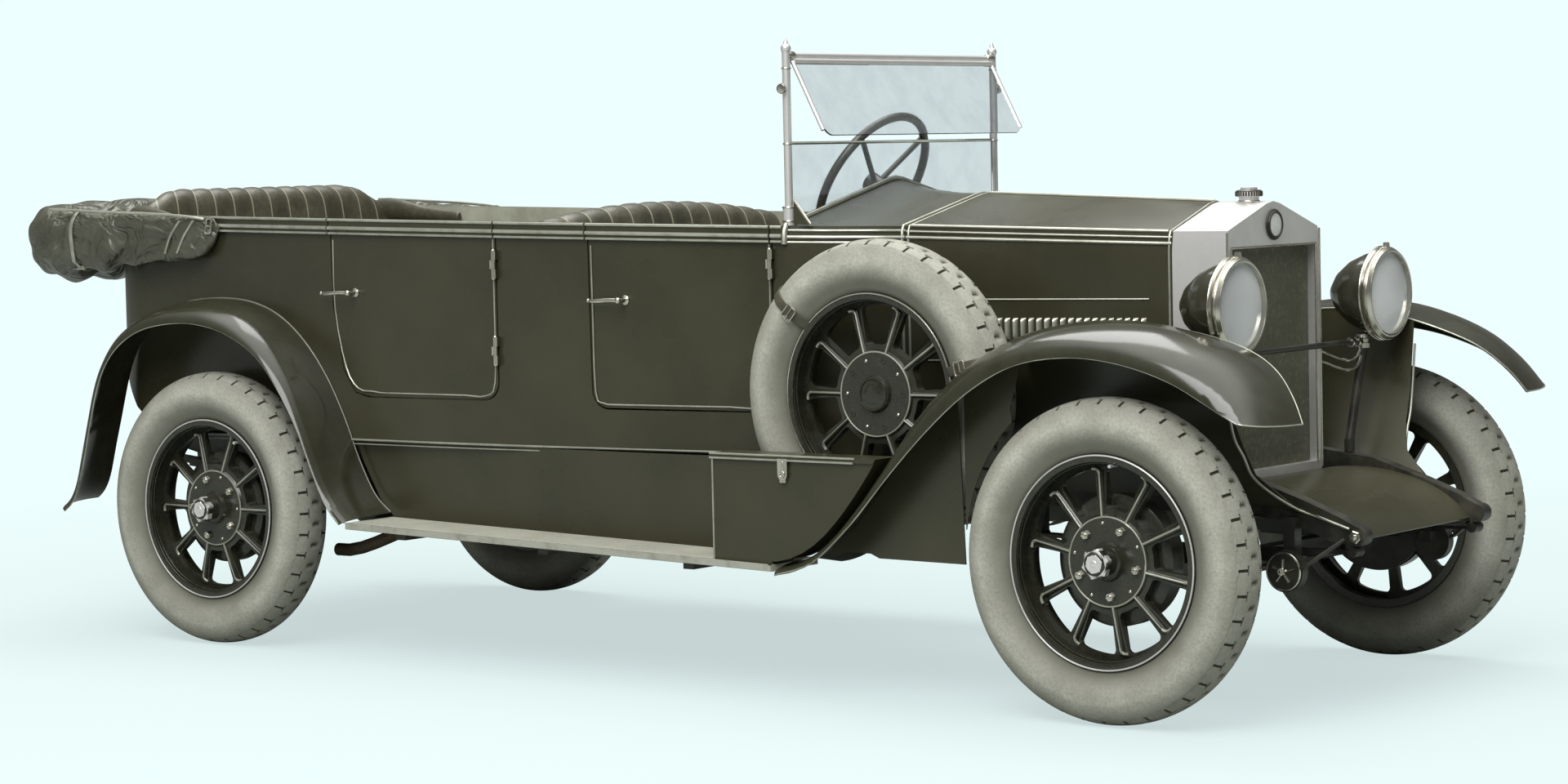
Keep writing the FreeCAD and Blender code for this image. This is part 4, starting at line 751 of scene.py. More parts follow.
def pleatedPad(name, profileAt, half, pleats):
    # a closed cover: profileAt(share) gives its side view at a share of the width from -1 to 1,
    # as (x, z, gather) points, where gather says how deep the pleat's seam is there
    perPleat = seats["columnsPerPleat"]
    columns = pleats * perPleat
    pinned = set()
    points = []
    for column in range(columns + 1):
        share = -1.0 + 2.0 * column / columns
        profile = profileAt(share)
        count = len(profile)
        bulge = math.sin(math.pi * (column % perPleat) / perPleat) ** 0.7
        for k, (x, z, gathered) in enumerate(profile):
            before, after = profile[k - 1], profile[(k + 1) % count]
            outX, outZ = after[1] - before[1], before[0] - after[0]
            size = math.hypot(outX, outZ) or 1.0
            sunk = -seats["groove"] * gathered * (1.0 - bulge)
            points.append(at(x + outX / size * sunk, half(x) * share, z + outZ / size * sunk))
            if column % perPleat == 0 or gathered < 0.05:
                pinned.add(len(points) - 1)
    faces = ringFaces(columns + 1, count)
    faces.append(tuple(reversed(range(count))))
    faces.append(tuple(range(columns * count, (columns + 1) * count)))
    holder = makePiece(name, [(points, faces)], "seat_leather", angle=60.0)
    seam = holder.data.attributes.new("seam", "FLOAT", "POINT")
    middleProfile = profileAt(0.0)
    for number in range(len(points)):
        seamed = number // count % perPleat == 0 and middleProfile[number % count][2] > 0.5
        seam.data[number].value = 1.0 if seamed else 0.0
    swell(holder, pinned, seats["pushCap"])
    smoothed(holder)
    return holder


def crownDrop(y, half, flat, fall):
    # how far the seat back's top has fallen at y from the middle
    reach = half - flat
    radius = (reach ** 2 + fall ** 2) / (2 * fall)
    beyond = min(max(0.0, abs(y) - flat), reach)
    return radius - math.sqrt(radius ** 2 - beyond ** 2)


def backFront(x):
    # the leaning front of a seat back, which both seats share
    return [(x + 0.056, 0.80, 1), (x + 0.050, 0.90, 1), (x + 0.044, 0.99, 1), (x + 0.036, 1.07, 1),
            (x + 0.026, 1.15, 1)]


def frontBackProfile(share):
    x, low, half = seats["frontBackX"], seats["floor"], seats["frontHalf"]
    top = seats["frontTop"] - crownDrop(share * half, half, 0.0, seats["frontFall"])
    return backFront(x) + [
        (x + 0.014, top - 0.075, 1), (x + 0.004, top - 0.038, 1), (x - 0.012, top - 0.014, 1),
        (x - 0.034, top - 0.003, 1), (x - 0.056, top - 0.001, 1), (x - 0.080, top - 0.010, 0.8),
        (x - 0.100, top - 0.030, 0.3), (x - 0.110, top - 0.060, 0), (x - 0.110, 1.15, 0),
        (x - 0.106, 1.0, 0), (x - 0.100, 0.85, 0), (x - 0.092, low, 0), (x - 0.02, low, 0),
        (x + 0.05, low, 0), (x + 0.058, 0.70, 0)]


def rearBackProfile(share):
    x, half = seats["rearBackX"], seats["rearHalf"]
    top = seats["rearTop"] - crownDrop(share * half, half, seats["rearFlat"], seats["rearFall"])
    return backFront(x) + [
        (x + 0.014, top - 0.085, 1), (x + 0.004, top - 0.042, 1), (x - 0.012, top - 0.015, 1),
        (x - 0.034, top - 0.003, 1), (x - 0.056, top - 0.001, 1), (x - 0.080, top - 0.010, 0.8),
        (x - 0.098, top - 0.030, 0.3), (x - 0.104, top - 0.060, 0), (x - 0.104, 1.15, 0),
        (x - 0.102, 1.05, 0), (x - 0.085, 0.94, 0), (x - 0.055, 0.84, 0), (x - 0.005, 0.74, 0),
        (x + 0.04, 0.68, 0), (x + 0.058, 0.72, 0)]


def rearHalfAt(x):
    # half the room inside the tail, which rounds in behind the rear seat
    turn = coach["tailRadius"] - 0.045
    centre = coach["bodyRear"] + coach["tailRadius"]
    if x >= centre:
        return seats["rearHalf"]
    return coach["halfRear"] - coach["tailRadius"] + math.sqrt(max(0.0, turn ** 2 - (centre - x) ** 2))


def cushionProfile(place):
    # from the bottom at the back, up over the top and down the rounded nose
    back, front = seats[place + "BackX"] + seats["backThick"], seats[place + "CushionFront"]
    low, top = seats["floor"], seats[place + "CushionTop"]
    mid = (back + front) / 2
    return [(back, top - 0.15, 0), (back + 0.004, top - 0.05, 0.3), (back + 0.03, top - 0.026, 1),
            ((mid + back) / 2, top - 0.014, 1), (mid, top - 0.004, 1), ((mid + front) / 2, top + 0.002, 1),
            (front - 0.09, top, 1), (front - 0.04, top - 0.008, 1), (front - 0.01, top - 0.03, 1),
            (front + 0.006, top - 0.07, 1), (front + 0.008, top - 0.12, 0.8), (front, low + 0.12, 0.4),
            (front - 0.004, low + 0.02, 0), (front - 0.02, low, 0), (back, low, 0)]


def frontHalfAt(x):
    return seats["frontHalf"]


def rearCushionHalf(x):
    return seats["rearHalf"]


pleatedPad("frontSeatBack", frontBackProfile, frontHalfAt, seats["frontPleats"])
pleatedPad("rearSeatBack", rearBackProfile, rearHalfAt, seats["rearPleats"])
frontCushion = pleatedPad("frontSeatCushion", lambda share: cushionProfile("front"), frontHalfAt,
                          seats["frontPleats"])
rearCushion = pleatedPad("rearSeatCushion", lambda share: cushionProfile("rear"), rearCushionHalf,
                         seats["rearPleats"])
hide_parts("front_seat")
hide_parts("rear_seat")


def seatPiping():
    # welted cord along the top edge and under the cushion's nose
    parts = []
    lift = seats["pipingLift"]
    for profileAt, half in ((frontBackProfile, frontHalfAt), (rearBackProfile, rearHalfAt)):
        path = []
        for number in range(41):
            share = -1 + number / 20
            x, z = profileAt(share)[seats["pipedPoint"]][:2]
            path.append(at(x - lift, share * half(x), z + lift))
        parts.append(tube(path, seats["piping"]))
    for place in ("front", "rear"):
        x, half = seats[place + "CushionFront"] + lift, seats[place + "Half"]
        z = seats[place + "CushionTop"] - seats["noseDrop"]
        parts.append(tube([at(x, -half + half * k / 2, z) for k in range(5)], seats["piping"]))
    return parts


makePiece("seatPiping", seatPiping(), "seat_leather")


def armRolls():
    # stuffed rolls that carry the rear seat's back round into the corners and forward along the walls
    path = smoothPath([at(-0.555, -0.500, 1.262), at(-0.530, -0.535, 1.262), at(-0.470, -0.548, 1.270),
                       at(-0.380, -0.553, 1.262), at(-0.280, -0.556, 1.250), at(-0.170, -0.560, 1.238)], 6)
    last = len(path) - 1
    sizes = [0.55 + 0.45 * math.sin(math.pi * min(1.0, k / last * 1.25 + 0.1)) for k in range(last + 1)]
    return bothSides([sweep(path, oval(0.024, 0.040, 16), False, (0, 0, 1), sizes)])


rolls = makePiece("rearArmRolls", armRolls(), "seat_leather", angle=60)
smoothed(rolls)
print("seats made")


# hood folded in its bag round the tail: sections as centre, width and height
hoodStations = [((-0.046, -0.6354, 1.240), 0.007, 0.014), ((-0.075, -0.6444, 1.225), 0.024, 0.104),
                ((-0.15, -0.656, 1.209), 0.046, 0.142), ((-0.45, -0.676, 1.208), 0.084, 0.176),
                ((-0.69, -0.674, 1.202), 0.110, 0.208), ((-0.80, -0.606, 1.206), 0.186, 0.234),
                ((-0.806, -0.44, 1.200), 0.212, 0.256), ((-0.806, -0.22, 1.200), 0.212, 0.264),
                ((-0.806, 0.0, 1.200), 0.212, 0.264)]
hoodFolds = {"around": 36, "fold": 0.0110, "ripple": 0.0070, "crease": 0.0200, "squeeze": 0.010,
             "tieReach": 0.022, "tieHeld": 0.012, "thinBelow": 0.08, "sink": 0.003,
             "ties": (0.0, 0.30, 0.62, 1.02)}


def hoodBag(sizes):
    stations = [(Vector(c), a, b) for c, a, b in hoodStations]
    for centre, width, height in list(reversed(stations[:-1])):
        stations.append((Vector((centre.x, -centre.y, centre.z)), width, height))
    centres = smoothPath([station[0] for station in stations], 14)
    widths = smoothPath([Vector((station[1], station[2], 0)) for station in stations], 14)
    around = sizes["around"]
    points = []
    pinned = set()
    count = len(centres)
    lengths = [0.0]
    for first, second in zip(centres, centres[1:]):
        lengths.append(lengths[-1] + (second - first).length)
    total = lengths[-1]
    ties = [tie for near in sizes["ties"] for tie in (near, total - near)] + [total / 2]
    for number, centre in enumerate(centres):
        before, after = centres[max(0, number - 1)], centres[min(count - 1, number + 1)]
        way = (after - before).normalized()
        out = Vector((-way.y, way.x, 0)).normalized()
        width, height = widths[number].x, widths[number].y
        thin = min(1.0, width / sizes["thinBelow"])
        length = lengths[number]
        tie = min(abs(length - place) for place in ties)
        squeeze = sizes["squeeze"] * math.exp(-(tie / sizes["tieReach"]) ** 2)
        for k in range(around):
            turn = math.tau * k / around
            sine, cosine = math.sin(turn), math.cos(turn)
            wide = math.copysign(abs(cosine) ** 0.75, cosine) * width / 2
            high = math.copysign(abs(sine) ** 0.85, sine) * height / 2
            offset = out * wide + Vector((0, 0, high))
            # folds that run from the flap down and back, deeper lower down, and drawn in at the straps
            low = 0.3 + 0.7 * (0.5 - 0.5 * sine)
            swirl = noise.noise(Vector((length * 3.1, turn, 0.7)))
            fold = math.sin(length * 34.0 + 2.2 * sine + 3.0 * swirl)
            ripple = noise.noise(Vector((length * 16.0, turn * 1.6, 4.2)))
            crease = 1.0 - 2.0 * abs(noise.noise(Vector((length * 9.0 + 1.2 * sine, turn * 1.1, 1.7))))
            deep = sizes["fold"] * fold + sizes["crease"] * (crease - 0.7)
            depth = deep * low + sizes["ripple"] * ripple
            points.append(centre + offset + offset.normalized() * ((depth - squeeze) * thin - sizes["sink"]))
            if tie < sizes["tieHeld"] or k == around // 4:
                pinned.add(len(points) - 1)
    faces = ringFaces(count, around)
    faces.append(tuple(reversed(range(around))))
    faces.append(tuple(range((count - 1) * around, count * around)))
    holder = makePiece("hoodBag", [([at(*p) for p in points], faces)], "hood_cloth", angle=70.0)
    swell(holder, pinned, 0.009, pressure=3.0, frames=12)
    smoothed(holder)
    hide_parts("hood_bag")


hoodBag(hoodFolds)
print("hood made")


# wheel fittings: flange ring, nuts and rivets, spoke hooks, hub cap steps and rim lines; the flange ring,
# spoke ridges and hooks are pale painted highlight lines
wheelSizes = {"flangeRing": 0.113, "nutCircle": 0.087, "nutRadius": 0.0125, "nutHeight": 0.011,
              "rivetCircle": 0.096, "rivetRadius": 0.0048, "spareCircle": 0.090, "face": 0.022,
              "hookFrom": 0.216, "rimLines": (0.2500, 0.2455), "capBarrel": 0.033, "capFace": 0.040,
              "capCorner": 0.0395, "valveCircle": 0.243}


def wheelFittings(turnDegrees, nutDegrees, spare=False):
    # in the wheel's own axes, y out of the car; angles go counter-clockwise seen from outside the right side
    rings, caps, studs, ribs = [], [], [], []
    sizes = wheelSizes
    face, corner = sizes["face"], sizes["capCorner"]
    out = Vector((0, 1, 0))

    def spot(radius, degrees, depth):
        angle = math.radians(180.0 - degrees)
        return Vector((radius * math.cos(angle), depth, radius * math.sin(angle)))

    def ring(depth, radius, thickness, steps, sides=6):
        return ringTube((0, depth, 0), out, radius, thickness, steps, sides)

    ribs.append(ring(face - 0.0008, sizes["flangeRing"] - 0.002, 0.0026, 64, 8))
    for number in range(10):
        angle = turnDegrees + 36.0 * number
        hook = [spot(sizes["hookFrom"], angle, face - 0.012), spot(0.224, angle + 0.4, face - 0.0125),
                spot(0.2305, angle + 2.2, face - 0.014), spot(0.2325, angle + 5.0, face - 0.0150)]
        ribs.append(bent(hook, 5, 0.0042, (0, 1, 0)))
        ridge = [spot(0.112, angle, face - 0.0005), spot(0.16, angle, face - 0.0052),
                 spot(0.218, angle, face - 0.0118)]
        ribs.append(tube(ridge, 0.0030, 8, False, (0, 1, 0)))
    for radius in sizes["rimLines"]:
        rings.append(ring(0.0515 - (0.2545 - radius) * 1.4, radius, 0.0022, 96))
    caps.append(ring(0.0525, 0.2650, 0.0024, 112, 8))
    for number in range(5):
        angle = nutDegrees + 72.0 * number
        if spare:
            studs.append(dome(spot(sizes["spareCircle"], angle + 36.0, face), out, 0.0055, 0.004))
            rings.append(ringTube(spot(sizes["spareCircle"], angle, face), out, 0.0062, 0.0016, 14, 6))
        else:
            studs += nut(spot(sizes["nutCircle"], angle, face), out, sizes["nutRadius"], sizes["nutHeight"])
            rivet = spot(sizes["rivetCircle"], angle + 36.0, face)
            studs.append(dome(rivet, out, sizes["rivetRadius"], 0.0035))
    if spare:
        rings.append(ring(face + 0.0115, 0.042, 0.0030, 48, 8))
        rings.append(dome((0, face + 0.009, 0), out, 0.032, 0.006, 28))
        return rings, caps, studs, ribs
    for along in (0.012, 0.020, 0.028):
        rings.append(ring(face + along, sizes["capBarrel"], 0.0014, 40))
    rings.append(ring(face + 0.0085, 0.0445, 0.002, 40))
    hexagon = [(corner + 0.0004, sizes["capFace"] - 0.0004), (corner + 0.0004, 0.0565),
               (corner - 0.005, 0.0592), (0.026, 0.0605), (0.024, 0.0628), (0.0, 0.0632)]
    caps.append(lathe([(r, face + a) for r, a in hexagon], (0, 0, 0), out, 6))
    caps.append(ring(face + 0.0615, 0.0215, 0.0012, 32))
    caps.append(dome((0, face + 0.0625, 0), out, 0.010, 0.0025))
    valve = spot(sizes["valveCircle"], nutDegrees + 20.0, 0.030)
    for low, high, radius in ((0.0, 0.028, 0.0032), (0.026, 0.036, 0.0045)):
        caps.append(straight(valve + out * low, valve + out * high, radius, 8, (1, 0, 0)))
    return rings, caps, studs, ribs


wheelTurns = {"rear_right": (0.0, 36.0), "rear_left": (0.0, 36.0), "front_right": (-11.0, 61.0),
              "front_left": (11.0, 47.0)}
for place, (x, side) in wheelPlaces.items():
    matrix = wheelMatrix(x, side)
    rings, caps, studs, ribs = wheelFittings(*wheelTurns[place])
    # the ribs are pale painted highlights along the enamelled spokes and flange
    for name, parts, finish in (("wheelRings", rings, "wheel_enamel"), ("wheelCap", caps, "nickel"),
                                ("wheelNuts", studs, "nickel"), ("wheelRibs", ribs, "bead")):
        fitting = makePiece(name + "_" + place, [placed(part, matrix) for part in parts], finish,
                            "wheel_" + place)
        if name == "wheelCap":
            fitting.data.materials[0] = shellSilver
rings, caps, studs, ribs = wheelFittings(0.0, 0.0, True)
# the spare's ribs are pale painted highlights too
for name, parts, finish in (("spareRibs", ribs, "bead"), ("spareRings", rings, "wheel_enamel"),
                            ("spareLip", caps, "nickel"), ("spareRivets", studs, "nickel")):
    makePiece(name, [placed(part, spareMatrix) for part in parts], finish)
print("wheel fittings made")


# mouldings, hinges and handles of the body
scuttlePlan = [(2.0, 0.515), (2.105, 0.459), (2.225, 0.401), (2.31, 0.385), (3.05, 0.236)]
scuttleShoulder = [(2.0, 1.232), (2.105, 1.229), (2.225, 1.227), (2.31, 1.226), (3.05, 1.203)]


def sideY(x):
    # half the width of the car's side at x, through body, scuttle and bonnet
    return bodyHalf(x) if x <= coach["bodyFront"] else alongMarks(scuttlePlan, x)


def shoulderZ(x):
    return alongMarks(scuttleShoulder, x)


def bodyLine(x0, x1, height, out, count=24):
    # a line along the right side of the body at a height below the rail
    path = []
    for number in range(count + 1):
        x = x0 + (x1 - x0) * number / count
        path.append(at(x, -(bodyHalf(x) + coach["beltOut"] + out), beltZ(x) + height))
    return path


def tailLine(height, out, count=10):
    # the same line round the tail, from the right side to the left
    half = coach["halfRear"] + coach["beltOut"] + out
    rear = coach["bodyRear"] - coach["beltOut"] - out
    turn = coach["tailRadius"] + coach["beltOut"] + out
    path = []
    for number in range(count + 1):
        angle = math.radians(90 * number / count)
        path.append(at(rear + turn - turn * math.sin(angle), -(half - turn + turn * math.cos(angle)), 0))
    path += [Vector((p.x, -p.y, p.z)) for p in reversed(path)]
    return [Vector((p.x, p.y, beltZ(p.x + middleX) + height)) for p in path]


# the rail's three beads: height below the rail, how far out, and radius
beads = [(-0.0035, 0.0006, 0.0040), (-0.0270, 0.0006, 0.0058), (-0.0425, 0.0002, 0.0036)]
doorRuns = {"rear": (0.4045, 1.0365), "front": (1.3655, 1.9605)}
bodyRuns = [(-0.40, 0.3985), (1.0425, 1.3595), (1.9665, 2.0)]


def mouldings():
    fixed = []
    for height, out, radius in beads:
        for x0, x1 in bodyRuns:
            fixed += bothSides([tube(bodyLine(x0, x1, height, out), radius)])
        fixed.append(tube(tailLine(height, out, 14), radius))
    return fixed


# the rail's beads on body and doors are drawn pale: painted highlights along its rolls
makePiece("bodyBeads", mouldings(), "bead")
for place, (x0, x1) in doorRuns.items():
    parts = [tube(bodyLine(x0, x1, height, out), radius) for height, out, radius in beads]
    makePiece("doorBeads_" + place + "_right", parts, "bead", "door_" + place + "_right")
    makePiece("doorBeads_" + place + "_left", [mirrored(part) for part in parts], "bead",
              "door_" + place + "_left")


def scuttleLine(x0, x1, drop, out, count=16):
    path = []
    for number in range(count + 1):
        x = x0 + (x1 - x0) * number / count
        path.append(at(x, -(sideY(x) + out), shoulderZ(x) - drop))
    return path


# the belt runs on over scuttle and bonnet, just under the shoulder: drop, radius and how far in it lies
scuttleBelt = [(0.012, 0.0036, 0.0055), (0.030, 0.0052, 0.0015), (0.044, 0.0034, 0.0015)]
bonnetBelt = [(0.014, 0.0034, 0.004), (0.030, 0.0050, 0.002)]
flute = {"from": 2.345, "to": 2.985, "high": 1.030, "low": 0.868, "out": 0.0005}


def scuttleBeads(sizes):
    scuttle, bonnet = [], []
    for drop, radius, inward in scuttleBelt:
        scuttle.append(tube(scuttleLine(2.001, 2.3085, drop, -inward, 12), radius))
    for drop, radius, inward in bonnetBelt:
        bonnet.append(tube(scuttleLine(2.3115, 3.046, drop, -inward, 6), radius))
    # two thin mouldings across the bonnet's side, above and below the louvres
    length = sizes["to"] - sizes["from"]
    high = [sizes["from"] + length * number / 12 for number in range(13)]
    low = [sizes["from"], 2.66, sizes["to"]]
    for stations, z, radius in ((high, sizes["high"], 0.0026), (low, sizes["low"], 0.0022)):
        bonnet.append(tube([at(x, -(sideY(x) + sizes["out"]), z) for x in stations], radius))
    return bothSides(scuttle), bothSides(bonnet)


scuttleParts, bonnetParts = scuttleBeads(flute)


def gableLine(x, half, shoulder, peak, lift=0.0, count=10):
    # over the top of scuttle or bonnet, from shoulder to shoulder
    crown = 0.034
    drop = (peak - shoulder) * crown / half
    right = [(-half + 0.008, shoulder), (-crown, peak - drop * 0.6), (0.0, peak)]
    path = []
    for (y0, z0), (y1, z1) in zip(right, right[1:]):
        for number in range(count):
            path.append((y0 + (y1 - y0) * number / count, z0 + (z1 - z0) * number / count))
    path.append(right[-1])
    path += [(-y, z) for y, z in reversed(path[:-1])]
    return [at(x, y, z + lift) for y, z in path]


def bandAcross(x, half, shoulder, peak, down, radius, lift):
    # a bead that runs over the top and down both sides as far as down
    top = gableLine(x, half, shoulder, peak, lift)
    first = top[0]
    foot = [Vector((first.x, -half - lift, down)), Vector((first.x, -half - lift, shoulder - 0.05)),
            Vector((first.x, -half + 0.003 - lift, shoulder - 0.012))]
    last = [Vector((p.x, -p.y, p.z)) for p in reversed(foot)]
    return tube(foot + top + last, radius, 8, False, (1, 0, 0))


# beads across: place, half width, shoulder, peak, how far down, radius and lift
for parts, band in ((scuttleParts, (2.003, 0.515, 1.232, 1.350, 1.190, 0.0085, 0.001)),
                    (scuttleParts, (2.300, 0.3865, 1.2262, 1.3065, 0.640, 0.0042, 0.0006)),
                    (bonnetParts, (2.318, 0.3835, 1.2258, 1.3058, 0.660, 0.0034, 0.0)),
                    (bonnetParts, (3.040, 0.238, 1.2033, 1.2764, 0.660, 0.0034, 0.0))):
    parts.append(bandAcross(*band))
for side in (-1, 1):
    # hinge of the bonnet top along each shoulder
    path = [at(x, side * (sideY(x) - 0.008), shoulderZ(x) + 0.0015) for x in (2.325, 2.6, 2.85, 3.035)]
    bonnetParts.append(tube(path, 0.0042))
# and the middle hinge
bonnetParts.append(straight(at(2.325, 0, 1.3065), at(3.035, 0, 1.2775), 0.0045))
# the scuttle's and bonnet's beads and hinges are pale painted highlight lines
makePiece("scuttleBeads", scuttleParts, "bead")
makePiece("bonnetBeads", bonnetParts, "bead")


louvres = {"count": 22, "from": 2.505, "pitch": 0.022, "forward": 0.0052,
           "heights": [0.9225, 0.9245, 0.928, 0.934, 0.952, 0.970, 0.976, 0.9795, 0.9815],
           "swells": [0.0, 0.45, 0.8, 1.0, 1.0, 1.0, 0.8, 0.45, 0.0]}


def louvreLips(sizes):
    # each louvre is pressed out along one edge: a small hood with a rounded end above and below
    parts = []
    angle = math.atan2(coach["bonnetHalf"] - coach["bonnetFrontHalf"],
                       coach["radiatorRear"] - coach["jointX"])
    along = Vector((math.cos(angle), math.sin(angle), 0))
    out = Vector((math.sin(angle), -math.cos(angle), 0))
    for number in range(sizes["count"]):
        x = sizes["from"] + sizes["pitch"] * number
        root = at(x, -sideY(x), 0) + along * sizes["forward"]
        points = []
        for z, swelling in zip(sizes["heights"], sizes["swells"]):
            ring = [(0.0042, -0.001), (0.0042, 0.0012), (-0.0005, 0.0066 * swelling + 0.0006),
                    (-0.0075, 0.0090 * swelling + 0.0006), (-0.0084, 0.0080 * swelling + 0.0002),
                    (-0.0015, 0.0050 * swelling), (0.0030, -0.001)]
            points += [root + along * a + out * b + Vector((0, 0, z)) for a, b in ring]
        rings, size = len(sizes["heights"]), len(ring)
        faces = ringFaces(rings, size, False, True)
        faces.append(tuple(range(size)))
        faces.append(tuple(reversed(range((rings - 1) * size, rings * size))))
        parts.append((points, faces))
    return bothSides(parts)


# the louvre lips are drawn pale: painted highlights along the pressed edges
makePiece("louvreLips", louvreLips(louvres), "bead", angle=50)

doorSizes = {"inset": 0.012, "proud": 0.0006, "bead": 0.0024, "belowRail": 0.058, "cardGap": 0.0008,
             "cardThick": 0.006, "pockets": (0.98, 0.84), "pocketHalf": 0.18, "pocketPipe": 0.004}


def doorFrames(place, x0, x1, bottom, sizes):
    # raised bead just inside the door's edge, drawn pale as a painted highlight line
    inset, proud = sizes["inset"], sizes["proud"]

    def onSkin(x, forward, z):
        return at(x + forward, -(bodyHalf(x) + proud), z)

    high = beltZ(x0) - sizes["belowRail"]
    back = [onSkin(x0, inset + 0.004, high - 0.004), onSkin(x0, inset + 0.006, 1.0)]
    if place == "rear":
        back += [at(0.455, -0.6226, 0.83), at(0.502, -0.6228, 0.768),
                 at(0.56, -0.6230, bottom + inset + 0.006)]
    else:
        back += [onSkin(x0, 0.022, bottom + 0.05), onSkin(x0, 0.05, bottom + 0.018)]
    start, end = back[-1].x + middleX + 0.04, x1 - 0.05
    across = [onSkin(start + (end - start) * k / 5, 0.0, bottom + inset + 0.002) for k in range(6)]
    front = [onSkin(x1, -inset - 0.004, bottom + 0.055), onSkin(x1, -inset, 1.0),
             onSkin(x1, -inset, high - 0.004)]
    return [bent(back + across + front, 3, sizes["bead"])]


def doorHandle(x, z):
    # a lever with a round boss at its front end and a ball at its rear end
    y = -bodyHalf(x) - 0.001
    boss = [(0.014, -0.002), (0.014, 0.002), (0.011, 0.004), (0.007, 0.006), (0.0065, 0.030), (0.0, 0.033)]
    path = [at(x, y - 0.031, z), at(x - 0.03, y - 0.034, z + 0.001), at(x - 0.065, y - 0.036, z - 0.001),
            at(x - 0.095, y - 0.033, z - 0.002), at(x - 0.108, y - 0.029, z - 0.001)]
    return [lathe(boss, at(x, y, z), (0, -1, 0), 24), ball(at(x, y - 0.031, z), 0.0098),
            sweep(smoothPath(path, 5), oval(0.0040, 0.0056, 10)),
            ball(at(x - 0.109, y - 0.029, z - 0.001), 0.0066)]


def innerCard(place, x0, x1, bottom, sizes):
    # trimmed card inside the door, with two piped pocket edges and a pull strap
    low, high = bottom + 0.045, beltZ(x1) - 0.05
    steps, thick = 8, sizes["cardThick"]
    xs = [x0 + 0.06 + (x1 - x0 - 0.09) * k / steps for k in range(steps + 1)]
    if place == "rear":
        # clear of the rear wing's sweep
        xs = [max(x, 0.56) for x in xs]
    points = []
    for x in xs:
        y = -(bodyHalf(x) - coach["wall"] - sizes["cardGap"])
        points += [at(x, y, low), at(x, y, high), at(x, y + thick, high - 0.004),
                   at(x, y + thick, low + 0.004)]
    faces = ringFaces(steps + 1, 4, False, True) + [(0, 1, 2, 3), tuple(steps * 4 + k for k in (3, 2, 1, 0))]
    parts = [(points, [tuple(reversed(face)) for face in faces])]
    middle = (max(x0, 0.5) + x1) / 2
    inner = bodyHalf(middle) - coach["wall"] - 0.008
    for z in sizes["pockets"]:
        places = (middle - sizes["pocketHalf"], middle, middle + sizes["pocketHalf"])
        edge = [at(x, -(bodyHalf(x) - coach["wall"] - 0.0075), z) for x in places]
        parts.append(tube(edge, sizes["pocketPipe"]))
    strap = [at(middle - 0.09, -inner, 1.13), at(middle - 0.04, -inner + 0.018, 1.118),
             at(middle + 0.04, -inner + 0.018, 1.118), at(middle + 0.09, -inner, 1.13)]
    parts.append(sweep(smoothPath(strap, 6), roundedBar(0.026, 0.004, 0.0015), False, (0, 1, 0)))
    return parts


# rear and front edge, bottom, and the handle's place
doorPlaces = {"rear": (0.399, 1.042, 0.742, (0.500, 1.047)), "front": (1.360, 1.966, 0.726, (1.488, 1.031))}
for place, (x0, x1, bottom, handle) in doorPlaces.items():
    right = {"doorFrame": doorFrames(place, x0, x1, bottom, doorSizes), "doorHandle": doorHandle(*handle),
             "doorCard": innerCard(place, x0, x1, bottom, doorSizes)}
    for side in ("right", "left"):
        for name, parts in right.items():
            finish = {"doorFrame": "bead", "doorHandle": "nickel", "doorCard": "board_linoleum"}[name]
            made = makePiece(name + "_" + place + "_" + side,
                             parts if side == "right" else [mirrored(part) for part in parts], finish,
                             "door_" + place + "_" + side, bevel=0.001 if name == "doorCard" else 0.0)
            if name == "doorCard":
                made.data.materials[0] = trimCloth


def hingeCaps():
    # ball ends on the hinge pins
    parts = []
    for x in (1.0395, 1.9635):
        for z in (0.885, 1.130):
            for way in (1, -1):
                end = at(x, -(bodyHalf(x) + 0.011), z + way * 0.039)
                parts.append(dome(end, (0, 0, way), 0.0068, 0.006))
    return bothSides(parts)


makePiece("hingeCaps", hingeCaps(), "nickel")
# pale sill beads: painted highlight lines along the sill
sill = []
for z, radius in ((0.617, 0.0034), (0.605, 0.0020)):
    stations = [-0.28 + 2.27 * k / 20 for k in range(21)]
    sill.append(tube([at(x, -(bodyHalf(x) + 0.004), z) for x in stations], radius))
makePiece("sillBeads", bothSides(sill), "bead")
print("body details made")


# wings: a bead rolled along each edge, read from the same lines as the CAD, drawn pale as painted highlight
# lines
rearCrown = [(-0.640, 0.404), (-0.600, 0.440), (-0.560, 0.540), (-0.515, 0.680), (-0.450, 0.850),
             (-0.360, 0.950), (-0.231, 1.009), (-0.084, 1.027), (0.060, 1.019), (0.180, 0.980),
             (0.285, 0.905), (0.375, 0.800), (0.445, 0.680), (0.500, 0.560), (0.560, 0.460),
             (0.620, 0.410)]
rearEdge = [(-0.608, 0.402), (-0.566, 0.438), (-0.527, 0.535), (-0.488, 0.668), (-0.440, 0.800),
            (-0.362, 0.900), (-0.235, 0.968), (-0.070, 0.993), (0.066, 0.984), (0.182, 0.950),
            (0.288, 0.890), (0.374, 0.796), (0.450, 0.682), (0.508, 0.560), (0.560, 0.462),
            (0.610, 0.410)]
frontCrown = [(2.160, 0.358), (2.260, 0.392), (2.370, 0.484), (2.480, 0.624), (2.580, 0.762),
              (2.680, 0.858), (2.790, 0.926), (2.920, 0.974), (3.060, 0.994), (3.180, 0.994),
              (3.300, 0.978), (3.420, 0.940), (3.520, 0.885), (3.590, 0.815), (3.632, 0.750)]
